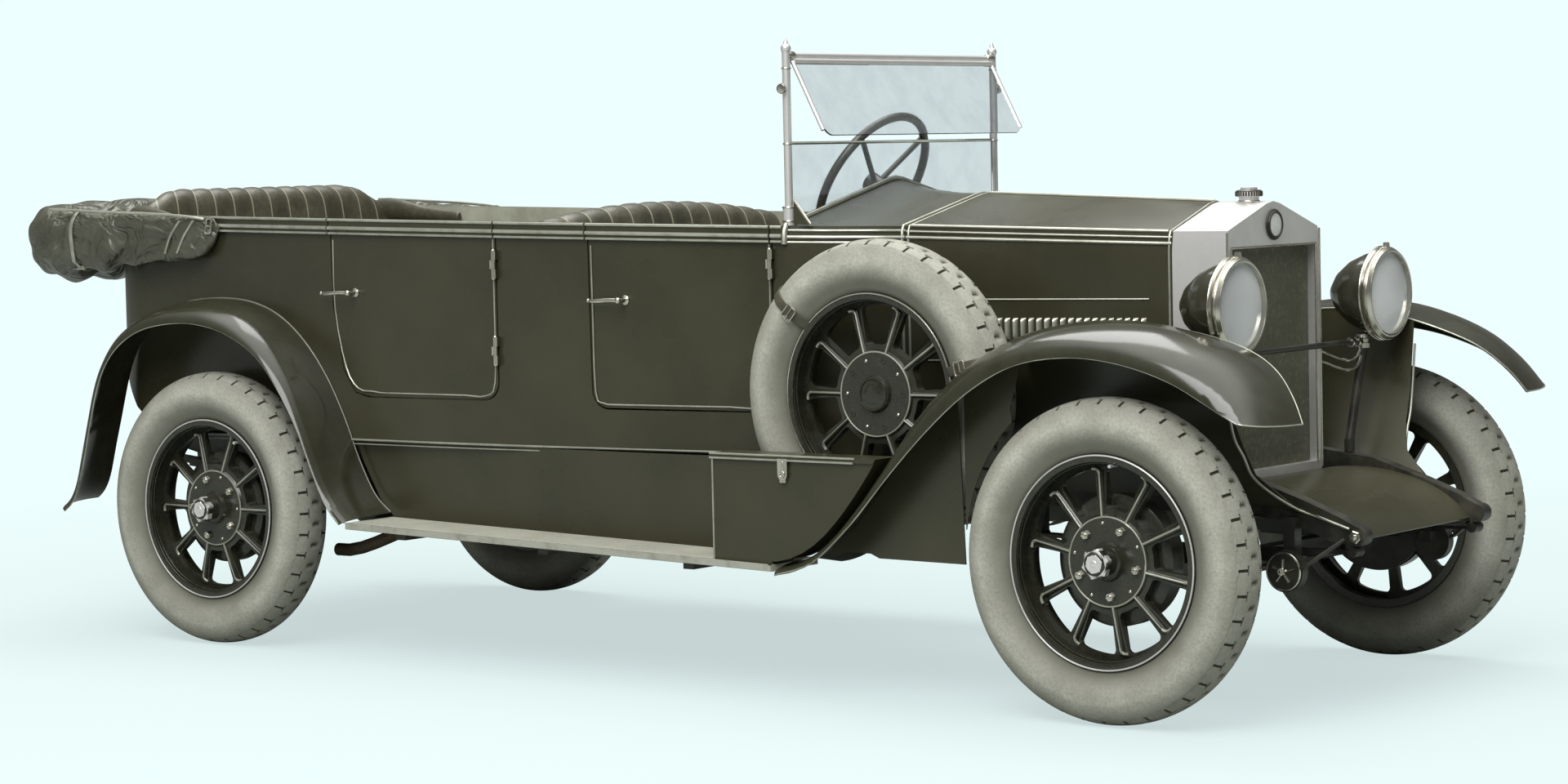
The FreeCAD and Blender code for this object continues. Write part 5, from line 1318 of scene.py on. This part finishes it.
frontEdge = [(2.160, 0.358), (2.276, 0.394), (2.396, 0.494), (2.515, 0.620), (2.634, 0.736),
             (2.749, 0.830), (2.861, 0.896), (2.960, 0.930), (3.080, 0.944), (3.180, 0.940),
             (3.290, 0.920), (3.400, 0.884), (3.490, 0.838), (3.550, 0.792), (3.590, 0.742)]
wing = {"lip": 0.032, "lipEnds": (0.012, 0.040), "taperFrom": 3.352, "tip": 3.632, "outer": 0.8035,
        "edgeBead": 0.0022, "crownBead": 0.0018}


def lowered(line, depth):
    result = []
    for number, (x, z) in enumerate(line):
        x0, z0 = line[max(number - 1, 0)]
        x1, z1 = line[min(number + 1, len(line) - 1)]
        size = math.hypot(x1 - x0, z1 - z0)
        result.append((x + (z1 - z0) / size * depth, z - (x1 - x0) / size * depth))
    return result


frontLow = lowered(frontEdge, wing["lip"])
frontLow[-2:] = [(x, z + rise) for (x, z), rise in zip(frontLow[-2:], wing["lipEnds"])]
rearLow = lowered(rearEdge, wing["lip"])


def frontTaper(x):
    return max(0.0, x - wing["taperFrom"]) / (wing["tip"] - wing["taperFrom"])


def wingBeads(sizes):
    parts = []
    for line in (frontLow, rearLow):
        parts.append(bent([at(x, -sizes["outer"], z) for x, z in line], 5, sizes["edgeBead"]))
    shoulder = [at(x, -(0.5 + 0.106 * frontTaper(x) ** 2), z - 0.022 * (1.0 - frontTaper(x)) - 0.001)
                for x, z in frontCrown[4:]]
    parts.append(bent(shoulder, 5, sizes["edgeBead"]))
    tip = []
    (rootX, rootZ), (edgeX, edgeZ) = frontCrown[-1], frontLow[-1]
    for step in range(9):
        angle = math.radians(90 * step / 8)
        tip.append(at(edgeX + (rootX - edgeX) * math.cos(angle), -0.62 - 0.1835 * math.sin(angle),
                      edgeZ + (rootZ - edgeZ) * math.cos(angle)))
    parts.append(tube([shoulder[-1]] + tip, sizes["crownBead"]))
    parts.append(bent([at(x, -0.625, z + 0.001) for x, z in rearCrown], 5, sizes["crownBead"]))
    return bothSides(parts)


makePiece("wingBeads", wingBeads(wing), "bead")


def valanceEdge():
    # rolled edge of the panel that sweeps from the wing down along the dumb iron, drawn pale as a painted
    # highlight line
    path = [at(3.3535, -0.502, 0.880), at(3.3565, -0.470, 0.716), at(3.3645, -0.430, 0.648),
            at(3.3815, -0.400, 0.587), at(3.4595, -0.3645, 0.524), at(3.541, -0.3500, 0.494),
            at(3.612, -0.3465, 0.471)]
    return bothSides([bent(path, 7, 0.0036)])


makePiece("valanceEdges", valanceEdge(), "bead")

skirt = {"rear": 2.701, "low": 0.46, "wheelGap": 0.452, "y": -0.6892, "thick": 0.0022}


def skirtFront(sizes):
    # the skirt under the wing's sweep goes on forward, cut round the front wheel
    outline = [(sizes["rear"], sizes["low"])]
    for z in (sizes["low"], 0.50, 0.55, 0.60, 0.65, 0.70, 0.74):
        reach = math.sqrt(sizes["wheelGap"] ** 2 - (z - coach["tyreRadius"]) ** 2)
        outline.append((coach["wheelbase"] - reach, z))
    outline += [(2.842, 0.775), (2.862, 0.84), (2.872, 0.90), (2.80, 0.866), (sizes["rear"], 0.812)]
    return bothSides([slab([at(x, sizes["y"], z) for x, z in outline], (0, sizes["thick"], 0))])


makePiece("skirtFronts", skirtFront(skirt), "body_paint", bevel=0.0006)

# headlamps: nickel rims and silvered reflectors on the CAD bowls, bulbs, clamps and the wires' conduits;
# the lamp's middle, how far back the rim reaches, what counts as reflector, and the post behind it
lamp = {"x": 3.340, "y": 0.388, "z": 1.020, "rimBack": 0.0285, "reflector": 0.1095, "facing": 0.12,
        "post": 3.260, "clampZ": 0.874, "tieBarZ": 0.892}
lampNode = cadNodes["headlamp_shells"]
lampNode.data.materials.append(finishes["nickel"])
lampNode.data.materials.append(shellSilver)
for face in lampNode.data.polygons:
    centre = lampNode.matrix_world @ face.center
    radius = math.hypot(abs(centre.y) - lamp["y"], centre.z - lamp["z"])
    if centre.x + middleX > lamp["x"] - lamp["rimBack"]:
        face.material_index = 1
    elif face.normal.x > lamp["facing"] and radius < lamp["reflector"]:
        face.material_index = 2


def lampParts(side, sizes):
    x, y, z, post = sizes["x"], side * sizes["y"], sizes["z"], sizes["post"]
    ahead, up = (1, 0, 0), (0, 0, 1)
    nickel = [ringTube(at(x - 0.024, y, z), ahead, 0.1240, 0.0030, 72),
              ringTube(at(x - 0.006, y, z), ahead, 0.1215, 0.0034, 72),
              ringTube(at(x + 0.004, y, z), ahead, 0.1140, 0.0030, 72),
              lathe([(0.010, 0.0), (0.010, 0.02), (0.006, 0.022)], at(x - 0.126, y, z), ahead, 16),
              ball(at(x - 0.088, y, z), 0.014, 16)]
    clamp = [(0.0205, 0.0), (0.0205, 0.012), (0.0165, 0.015), (0.0165, 0.024), (0.0205, 0.027),
             (0.0205, 0.037)]
    nickel.append(lathe(clamp, at(post, y, sizes["clampZ"]), up, 24))
    nickel.append(dome(at(post, y, 1.106), up, 0.008, 0.006))
    nickel += nut(at(post, y - side * 0.020, sizes["tieBarZ"]), (0, -side, 0), 0.009, 0.008)
    catch = [(-0.009, 0.121), (0.009, 0.121), (0.006, 0.136), (-0.006, 0.136)]
    nickel.append(slab([at(x - 0.014, y + across, z + rise) for across, rise in catch], (0.012, 0, 0)))
    return nickel


makePiece("lampRims", lampParts(-1, lamp) + lampParts(1, lamp), "nickel")


def tieBarClamps(sizes):
    profile = [(0.0125, -0.006), (0.0135, -0.004), (0.0135, 0.004), (0.0125, 0.006)]
    return [lathe(profile, at(sizes["post"], side * y, sizes["tieBarZ"]), (0, 1, 0), 20)
            for side in (-1, 1) for y in (0.352, 0.318)]


makePiece("tieBarClamps", tieBarClamps(lamp), "nickel")


def conduits():
    # curved conduits from the lamp clamps to the radiator's side
    route = [(3.262, 0.372, 0.880), (3.262, 0.345, 0.852), (3.250, 0.30, 0.845), (3.205, 0.262, 0.868),
             (3.170, 0.2405, 0.872)]
    return [bent([at(x, side * y, z - drop) for x, y, z in route], 6, 0.0038)
            for side in (-1, 1) for drop in (0.0, 0.026)]


makePiece("lampConduits", conduits(), "nickel")

# radiator: honeycomb core face, badge, cap and the wires round the shell's edges
radiator = {"coreX": 3.188, "coreLow": 0.584, "coreHigh": 1.158, "coreHalf": 0.213, "pipes": 47, "rows": 63,
            "frontX": 3.213, "openHalf": 0.2185, "edgeHalf": 0.2385, "wire": 0.0034, "capX": 3.140,
            "capZ": 1.3015, "knurls": 30, "badgeZ": 1.215}


def honeycomb(sizes):
    # vertical fins and cross tubes in front of the core, drawn at 9 mm pitch
    parts = []
    x, half = sizes["coreX"], sizes["coreHalf"]
    for number in range(sizes["pipes"]):
        y = -half + 2 * half * number / (sizes["pipes"] - 1)
        parts.append(block(at(x - 0.0045, y - 0.0007, sizes["coreLow"]),
                           at(x + 0.0005, y + 0.0007, sizes["coreHigh"])))
    for number in range(sizes["rows"]):
        z = 0.588 + 0.566 * number / (sizes["rows"] - 1)
        parts.append(block(at(x - 0.0045, -0.2165, z - 0.0006), at(x - 0.0005, 0.2165, z + 0.0006)))
    return parts


makePiece("coreFace", honeycomb(radiator), "core_brass")
ahead = (1, 0, 0)
badgeRings = [ringTube(at(3.2180, 0, radiator["badgeZ"]), ahead, 0.0335, 0.0040, 48, 10),
              ringTube(at(3.2150, 0, radiator["badgeZ"]), ahead, 0.0385, 0.0022, 48)]
makePiece("badgeRing", badgeRings, "chassis_paint")


def radiatorTrim(sizes):
    # wires round the opening and down the shell's edges, and two rings under the cap
    x, half, edge, wire = sizes["frontX"], sizes["openHalf"], sizes["edgeHalf"], sizes["wire"]
    parts = []
    for y in (-half, half):
        parts.append(straight(at(x, y, sizes["coreLow"]), at(x, y, sizes["coreHigh"]), wire, 8, ahead))
    parts.append(straight(at(x, -half, 1.1595), at(x, half, 1.1595), wire))
    for y in (-edge, edge):
        parts.append(straight(at(x, y, 1.200), at(x, y, 0.565), 0.0030, 8, ahead))
    for z in (1.268, 1.2765):
        parts.append(ringTube(at(sizes["capX"], 0, z), (0, 0, 1), 0.0268, 0.0022, 36))
    return parts


makePiece("radiatorTrim", radiatorTrim(radiator), "nickel")
badge = [(0.0318, -0.001), (0.0318, 0.0012), (0.028, 0.0022), (0.0, 0.0034)]
badgeFace = makePiece("badgeFace", [lathe(badge, at(3.217, 0, radiator["badgeZ"]), ahead, 40)], "nickel")
badgeFace.data.materials[0] = badgeEnamel


def capKnurl(sizes):
    parts = []
    for number in range(sizes["knurls"]):
        angle = math.tau * number / sizes["knurls"]
        x, y = sizes["capX"] + 0.0342 * math.cos(angle), 0.0342 * math.sin(angle)
        parts.append(straight(at(x, y, 1.2895), at(x, y, sizes["capZ"]), 0.0022, 6, ahead))
    top = [(0.0345, 0.0), (0.0345, 0.0015), (0.030, 0.004), (0.0, 0.006)]
    parts.append(lathe(top, at(sizes["capX"], 0, sizes["capZ"]), (0, 0, 1)))
    return parts


makePiece("capKnurl", capKnurl(radiator), "bakelite")

# windscreen: collars and a gusset at each post's foot, pivots, knobs and the bar between the two glasses
screen = {"x": 2.003, "half": 0.491, "pivotZ": 1.688, "knobZ": 1.600, "splitZ": 1.4535, "splitHalf": 0.478,
          "collars": ((1.244, 0.0185), (1.281, 0.0180), (1.452, 0.0125), (1.655, 0.0125))}


def screenParts(sizes):
    parts, dark = [], []
    x = sizes["x"]
    pivot = [(0.0105, -0.016), (0.0125, -0.013), (0.0125, 0.013), (0.0105, 0.016)]
    knob = [(0.006, 0.0), (0.006, 0.006), (0.013, 0.008), (0.0145, 0.013), (0.013, 0.018), (0.005, 0.020)]
    for side in (-1, 1):
        y = side * sizes["half"]
        for z, radius in sizes["collars"]:
            parts.append(ringTube(at(x, y, z), (0, 0, 1), radius - 0.0015, 0.0026, 28))
        parts.append(lathe(pivot, at(x, y - side * 0.016, sizes["pivotZ"]), (0, 1, 0), 20))
        parts.append(lathe(knob, at(x, y + side * 0.010, sizes["knobZ"]), (0, side, 0), 20))
        gusset = [at(2.020, y - 0.003, 1.236), at(2.070, y - 0.003, 1.2335), at(2.020, y - 0.003, 1.300)]
        dark.append(slab(gusset, (0, 0.006, 0)))
        parts.append(straight(at(2.018, y, 1.304), at(2.074, y, 1.236), 0.0035))
    half, z = sizes["splitHalf"], sizes["splitZ"]
    parts.append(straight(at(x, -half, z), at(x, half, z), 0.0042))
    return parts, dark


screenNickel, screenDark = screenParts(screen)
makePiece("screenClamps", screenNickel, "nickel")
makePiece("screenGussets", screenDark, "body_paint", bevel=0.0008)

# running boards: ribbed mat and nickel nosing
board = {"rear": 0.6, "front": 2.150, "rearZ": 0.392, "frontZ": 0.352, "ribs": 18, "ribsFrom": 0.61,
         "ribsWide": 0.155, "matFront": 1.94, "edge": 0.790}


def boardZ(x):
    fall = board["frontZ"] - board["rearZ"]
    return board["rearZ"] + fall * (x - board["rear"]) / (board["front"] - board["rear"])


def boardStrip(x0, x1, y, outline):
    return sweep([at(x0, -y, boardZ(x0)), at(x1, -y, boardZ(x1))], outline)


rib = [(-0.0026, -0.001), (0.0026, -0.001), (0.0016, 0.0022), (-0.0016, 0.0022)]
ribPlaces = [board["ribsFrom"] + board["ribsWide"] * k / (board["ribs"] - 1) for k in range(board["ribs"])]
nosing = [(0.003, -0.0165), (-0.0022, -0.0165), (-0.0022, 0.0012), (0.014, 0.0034), (0.014, 0.0008),
          (0.003, -0.001)]
boardMat = [boardStrip(0.606, board["matFront"], y, rib) for y in ribPlaces]
makePiece("boardRibs", bothSides(boardMat), "board_linoleum")
makePiece("boardNosing", bothSides([boardStrip(0.601, 2.149, board["edge"], nosing)]), "nickel")

# tool boxes: lid lip, corner strip and hasp with its ring, rivet and lower catch
toolBox = {"y": -0.7885, "rear": 1.948, "haspX": 2.192, "haspHalf": 0.0155, "haspZ": 0.590}


def boxTrim(sizes):
    x, y = sizes["rear"], sizes["y"]
    return bothSides([straight(at(x, y, 0.6275), at(2.420, y, 0.6275), 0.0030),
                      straight(at(x, y, 0.6390), at(2.425, y, 0.6390), 0.0028),
                      straight(at(1.9525, -0.7825, 0.362), at(1.9525, -0.7825, 0.626), 0.0028, 8,
                               (1, 0, 0))])


def boxHasp(sizes):
    x, half, z = sizes["haspX"], sizes["haspHalf"], sizes["haspZ"]
    outline = [at(x - 0.016, -0.789, 0.632), at(x + 0.016, -0.789, 0.632), at(x + half, -0.789, z)]
    for number in range(1, 9):
        angle = math.pi * number / 8
        outline.append(at(x + half * math.cos(angle), -0.789, z - half * math.sin(angle)))
    return bothSides([slab(outline, (0, -0.0030, 0)),
                      ringTube(at(x, -0.7928, 0.591), (0, -1, 0), 0.0075, 0.0022, 20, 6),
                      dome(at(x, -0.792, 0.622), (0, -1, 0), 0.0045, 0.002),
                      block(at(x - 0.010, -0.7905, 0.569), at(x + 0.010, -0.7815, 0.581))])


# lid lip and corner strip in the pale bead finish that paints highlight lines
makePiece("boxTrim", boxTrim(toolBox), "bead")
makePiece("boxHasps", boxHasp(toolBox), "nickel", bevel=0.0006)

# two leather straps over the spare tyre, with buckles: each strap's angle round the wheel, and its run as
# radius and distance out from the wheel's middle
strapAngles = (138.0, 14.0)
strapRun = [(0.262, -0.052), (0.275, -0.060), (0.300, -0.071), (0.335, -0.0775), (0.368, -0.073),
            (0.395, -0.052), (0.408, -0.020), (0.4085, 0.012)]
buckle = {"out": -0.6785, "radius": 0.318, "across": 0.016, "along": 0.019, "wire": 0.0026, "tongue": 0.0018}


def spareStraps():
    x, y, z = sparePlace
    leather = []
    for degrees in strapAngles:
        sine, cosine = math.sin(math.radians(degrees)), math.cos(math.radians(degrees))
        path = [at(x + radius * cosine, y + out, z + radius * sine) for radius, out in strapRun]
        section = roundedBar(0.003, 0.026, 0.001, 2)
        leather.append(sweep(smoothPath(path, 6), section, False, (-sine, 0, cosine)))
    return leather


def strapBuckles(sizes):
    parts = []
    for degrees in strapAngles:
        angle = math.radians(degrees)
        out = Vector((math.cos(angle), 0, math.sin(angle)))
        along = Vector((-math.sin(angle), 0, math.cos(angle)))
        centre = at(sparePlace[0], sizes["out"], sparePlace[2]) + out * sizes["radius"]
        a, b = sizes["across"], sizes["along"]
        corners = [centre + out * p + along * q for p, q in ((a, b), (a, -b), (-a, -b), (-a, b))]
        parts.append(roundedLoop(corners, sizes["wire"]))
        parts.append(straight(centre - along * b, centre + along * b, sizes["tongue"], 6, (0, 1, 0)))
    return parts


makePiece("spareStraps", spareStraps(), "seat_leather", angle=45)
makePiece("strapBuckles", strapBuckles(buckle), "nickel")


# friction dampers on the dumb irons: a disc with a star spring, and the arm back to the axle
damper = {"x": 3.460, "y": 0.404, "z": 0.364, "arms": 5, "armReach": 0.031, "shackleY": 0.3435}


def damperParts(sizes):
    iron, bright = [], []
    disc = [(0.050, -0.002), (0.050, 0.003), (0.044, 0.005), (0.034, 0.0055), (0.0, 0.0055)]
    for side in (-1, 1):
        face = at(sizes["x"], side * sizes["y"], sizes["z"])
        out = Vector((0, side, 0))
        iron.append(lathe(disc, face, out, 40))
        bright.append(ringTube(face + out * 0.003, out, 0.0465, 0.0028, 48))
        for number in range(sizes["arms"]):
            angle = math.tau * number / sizes["arms"] + 0.3
            tip = Vector((math.cos(angle), 0, math.sin(angle))) * sizes["armReach"]
            bright.append(straight(face + out * 0.0065, face + out * 0.0065 + tip, 0.0036, 8, (0, 1, 0)))
        bright += nut(face + out * 0.006, out, 0.011, 0.012)
        arm = [face + Vector((ahead, -side * inward, up)) for ahead, inward, up in
               ((0, 0.006, 0), (0.05, 0.006, 0.012), (0.105, 0.020, 0.050), (0.150, 0.040, 0.083))]
        iron.append(sweep(smoothPath(arm, 6), roundedBar(0.008, 0.022, 0.002, 2), False, out))
        bright += nut(at(3.630, side * sizes["shackleY"], 0.452), out, 0.017, 0.013)
        bright += nut(at(2.688, side * sizes["shackleY"], 0.414), out, 0.015, 0.012)
    return iron, bright


iron, bright = damperParts(damper)
makePiece("damperPlates", iron, "chassis_paint")
makePiece("damperStars", bright, "nickel")


def hoodFlap():
    # the piped edge of the flap along the bag's outer side, drawn pale as a painted highlight line
    path = [at(-0.086, -0.6600, 1.266), at(-0.15, -0.6815, 1.276), at(-0.30, -0.7020, 1.286),
            at(-0.45, -0.7225, 1.292), at(-0.58, -0.7285, 1.298), at(-0.70, -0.7290, 1.302)]
    return [bent(path, 6, 0.0045)]


makePiece("hoodFlapEdge", bothSides(hoodFlap()), "bead")

hoodStrap = {"x": -0.600, "top": 1.318, "step": 0.0105, "points": 23, "out": 0.0035, "pulls": 12,
             "ribs": (-0.155, -0.205), "ribOut": 0.003, "rayFrom": -1.2}


def hoodStraps(sizes):
    # a webbing strap down the outer side of the bag with a pointed end, and two piped folds in front of it,
    # the folds drawn pale as painted highlight lines and the strap in the same pale finish
    webbing = []
    # the strap follows the bag's own surface, found by looking at it from the side
    bag = bpy.data.objects["hoodBag"]
    surface = BVHTree.FromPolygons([bag.matrix_world @ vertex.co for vertex in bag.data.vertices],
                                   [face.vertices[:] for face in bag.data.polygons])

    def onBag(spots, out):
        # the places, as x and z, that the bag has, moved out from its surface
        hits = [surface.ray_cast(at(x, sizes["rayFrom"], z), Vector((0, 1, 0)))[0] for x, z in spots]
        return [hit + Vector((0, -out, 0)) for hit in hits if hit]

    path = onBag([(sizes["x"], sizes["top"] - sizes["step"] * number) for number in range(sizes["points"])],
                 sizes["out"])
    # taut: no point lies further in than the line between its neighbours
    for turn in range(sizes["pulls"]):
        for k in range(1, len(path) - 1):
            path[k].y = min(path[k].y, (path[k - 1].y + path[k + 1].y) / 2)
    webbing.append(sweep(path, roundedBar(0.015, 0.003, 0.001, 2), False, (0, -1, 0)))
    foot = path[-1]
    tip = [(-0.008, 0.026), (0.008, 0.026), (0.022, -0.004), (-0.022, -0.004)]
    webbing.append(slab([foot + Vector((x, -0.002, z)) for x, z in tip], (0, -0.004, 0)))
    for x in sizes["ribs"]:
        rib = onBag([(x + 0.03, 1.262), (x, 1.215), (x - 0.025, 1.165)], sizes["ribOut"])
        webbing.append(bent(rib, 5, 0.0042))
    return webbing


def hoodBuckles():
    # the wire buckle and its tongue at the bag's front end
    loop = [at(-0.060, -0.6540, 1.268), at(-0.078, -0.6570, 1.268), at(-0.082, -0.6600, 1.224),
            at(-0.064, -0.6570, 1.224)]
    tongue = straight(at(-0.060, -0.655, 1.246), at(-0.082, -0.658, 1.246), 0.0026)
    return [roundedLoop(loop, 0.0036), tongue]


makePiece("hoodStraps", bothSides(hoodStraps(hoodStrap)), "bead")
makePiece("hoodBuckles", bothSides(hoodBuckles()), "nickel")
print("front and fittings made")

# cabin: instrument board with dials and knobs, pedals, levers and floor mats
cabinSizes = {"boardX": 1.9935, "boardThick": 0.010, "dialX": 1.9835, "dialZ": 1.155, "matLow": 0.6422,
              "matTop": 0.6485, "ribPitch": 0.035,
              "boardOutline": ((-0.452, 1.045), (0.452, 1.045), (0.466, 1.150), (0.440, 1.2180),
                               (0.0, 1.296), (-0.440, 1.2180), (-0.466, 1.150)),
              "dials": ((0.0, 0.045), (0.115, 0.038), (-0.115, 0.038), (-0.215, 0.026)),
              "pedals": (0.385, 0.285, 0.215), "mats": ((0.262, 1.085), (1.72, 1.955))}


def instruments(sizes):
    outline = [at(sizes["boardX"], y, z) for y, z in sizes["boardOutline"]]
    wood = [slab(outline, (-sizes["boardThick"], 0, 0))]
    dials, metal = [], []
    x, z, back = sizes["dialX"], sizes["dialZ"], (-1, 0, 0)
    for y, radius in sizes["dials"]:
        glass = [(radius, 0.0), (radius, 0.006), (radius * 0.88, 0.007), (radius * 0.86, 0.003),
                 (0.0, 0.003)]
        dials.append(lathe(glass, at(x, y, z), back))
        metal.append(ringTube(at(1.9765, y, z), back, radius * 0.95, 0.0024, 36))
        metal.append(straight(at(1.9800, y, z), at(1.9800, y + radius * 0.5, z + radius * 0.45), 0.0012, 6))
    knob = [(0.007, 0.0), (0.007, 0.010), (0.010, 0.012), (0.010, 0.018), (0.0, 0.020)]
    for number in range(4):
        metal.append(lathe(knob, at(x, -0.30 + 0.06 * number, 1.090), back, 14))
    return wood, dials, metal


def controls(sizes):
    metal, rubber = [], []
    for y in sizes["pedals"]:
        metal.append(bent([at(2.02, y, 0.700), at(1.96, y, 0.735), at(1.925, y, 0.790)], 5, 0.0065))
        pad = [at(1.935, y - 0.028, 0.772), at(1.935, y + 0.028, 0.772), at(1.905, y + 0.028, 0.835),
               at(1.905, y - 0.028, 0.835)]
        rubber.append(slab(pad, (0.006, 0, 0.003)))
    gearLever = [at(1.760, 0.02, 0.642), at(1.745, 0.02, 0.80), at(1.715, 0.02, 0.965)]
    handBrake = [at(1.83, 0.10, 0.642), at(1.82, 0.10, 0.80), at(1.775, 0.10, 0.945)]
    metal += [tube(smoothPath(gearLever, 6), 0.0075, 10), tube(smoothPath(handBrake, 6), 0.0080, 10),
              straight(at(1.775, 0.10, 0.945), at(1.757, 0.10, 1.010), 0.0105, 10)]
    rubber.append(ball(at(1.713, 0.02, 0.978), 0.022, 18))
    return metal, rubber


def floorMats(sizes):
    # a ribbed mat in front of each seat
    parts = []
    for x0, x1 in sizes["mats"]:
        half = bodyHalf(x1) - 0.045
        parts.append(block(at(x0, -half, sizes["matLow"]), at(x1, half, sizes["matTop"])))
        count = int((x1 - x0) / sizes["ribPitch"])
        for number in range(1, count):
            x = x0 + (x1 - x0) * number / count
            rib = at(x, -half + 0.01, sizes["matTop"]), at(x, half - 0.01, sizes["matTop"])
            parts.append(straight(*rib, 0.0028, 6))
    return parts


wood, dials, dialMetal = instruments(cabinSizes)
levers, rubber = controls(cabinSizes)
makePiece("instrumentBoard", wood, "bakelite", bevel=0.002)
# the dial glasses share the lamp glass and its painted reflection and shade
makePiece("dialFaces", dials, "lamp_glass")
makePiece("cabinMetal", dialMetal + levers, "nickel")
makePiece("floorMats", floorMats(cabinSizes), "board_linoleum", bevel=0.0015)
makePiece("pedalPads", rubber, "bakelite", bevel=0.001)
print("cabin made")

# floor, backdrop and lamps
studio = {"backdrop": "#eeffff", "shadedFloor": "#a4b0b0", "plainFloor": "#959a97", "sky": "#f4f6f2",
          "floorSize": 60.0, "shadowShare": 0.35, "shadowFrom": 2.2, "shadowTo": 6.5,
          "horizonStrength": 0.2, "worldStrength": 1.0, "overheadStrength": 2.6, "target": (0, 0, 0.6)}
# each lamp's place, size in metres and power in watts
lamps = {"key": ((3.0, -7.0, 7.5), 6.0, 900.0), "fill": ((-2.5, 3.0, 9.0), 5.0, 360.0),
         "side": ((-8.0, -10.0, 1.8), 5.0, 25.0)}


def eyeShare(tree):
    # 1 for what the camera sees, straight or through glass
    seen = addNode(tree, "ShaderNodeLightPath")
    return addNode(tree, "ShaderNodeMath", {"operation": "MAXIMUM"},
                   {0: seen.outputs["Is Camera Ray"], 1: seen.outputs["Is Transmission Ray"]}).outputs[0]


def eased(tree, value, start, end, low, high):
    # the value's way from start to end, turned into a smooth way from low to high
    settings = {"From Min": start, "From Max": end, "To Min": low, "To Max": high,
                "interpolation_type": "SMOOTHSTEP"}
    return addNode(tree, "ShaderNodeMapRange", settings, {"Value": value}).outputs[0]


def floorMaterial(sizes):
    material = bpy.data.materials.new("studioFloor")
    material.use_nodes = True
    tree = material.node_tree
    tree.nodes.clear()
    plain = addNode(tree, "ShaderNodeBsdfDiffuse", {"Color": hexColour(sizes["plainFloor"])})
    shaded = addNode(tree, "ShaderNodeBsdfDiffuse", {"Color": hexColour(sizes["shadedFloor"])})
    glow = addNode(tree, "ShaderNodeEmission", {"Color": hexColour(sizes["backdrop"]), "Strength": 1.0})
    # the shadow fades out away from the car, so the floor runs into the backdrop
    place = addNode(tree, "ShaderNodeTexCoord").outputs["Object"]
    spread = addNode(tree, "ShaderNodeVectorMath", {"operation": "LENGTH"}, {0: place}).outputs["Value"]
    fade = eased(tree, spread, sizes["shadowFrom"], sizes["shadowTo"], sizes["shadowShare"], 0.0)
    pale = addNode(tree, "ShaderNodeMixShader", None, {0: fade, 1: glow.outputs[0], 2: shaded.outputs[0]})
    choice = addNode(tree, "ShaderNodeMixShader", None, {0: eyeShare(tree), 1: plain.outputs[0],
                                                         2: pale.outputs[0]})
    addNode(tree, "ShaderNodeOutputMaterial", None, {0: choice.outputs[0]})
    return material


def makeFloor(sizes):
    half = sizes["floorSize"] / 2
    mesh = bpy.data.meshes.new("studioFloor")
    mesh.from_pydata([(-half, -half, 0), (half, -half, 0), (half, half, 0), (-half, half, 0)], [],
                     [(0, 1, 2, 3)])
    mesh.materials.append(floorMaterial(sizes))
    floor = bpy.data.objects.new("studioFloor", mesh)
    bpy.context.scene.collection.objects.link(floor)


def makeWorld(sizes):
    world = bpy.data.worlds.new("studio")
    bpy.context.scene.world = world
    world.use_nodes = True
    tree = world.node_tree
    tree.nodes.clear()
    back = addNode(tree, "ShaderNodeBackground", {"Color": hexColour(sizes["backdrop"]), "Strength": 1.0})
    # bright overhead and dark near the horizon, as under a studio's roof light
    place = addNode(tree, "ShaderNodeTexCoord").outputs["Generated"]
    height = addNode(tree, "ShaderNodeSeparateXYZ", None, {0: place}).outputs[2]
    level = eased(tree, height, 0.45, 0.9, sizes["horizonStrength"], sizes["worldStrength"])
    roof = eased(tree, height, 0.7, 0.97, 0.0, sizes["overheadStrength"])
    total = addNode(tree, "ShaderNodeMath", {"operation": "ADD"}, {0: level, 1: roof})
    soft = addNode(tree, "ShaderNodeBackground", {"Color": hexColour(sizes["sky"])},
                   {"Strength": total.outputs[0]})
    choice = addNode(tree, "ShaderNodeMixShader", None, {0: eyeShare(tree), 1: soft.outputs[0],
                                                         2: back.outputs[0]})
    addNode(tree, "ShaderNodeOutputWorld", None, {0: choice.outputs[0]})


makeFloor(studio)
makeWorld(studio)
for name, (spot, size, power) in lamps.items():
    light = bpy.data.lights.new(name, "AREA")
    light.shape = "SQUARE"
    light.size = size
    light.energy = power
    holder = bpy.data.objects.new(name, light)
    bpy.context.scene.collection.objects.link(holder)
    holder.location = spot
    holder.rotation_mode = "QUATERNION"
    holder.rotation_quaternion = (Vector(studio["target"]) - Vector(spot)).to_track_quat("-Z", "Y")
bpy.context.scene.view_settings.view_transform = "Standard"
print("studio made")
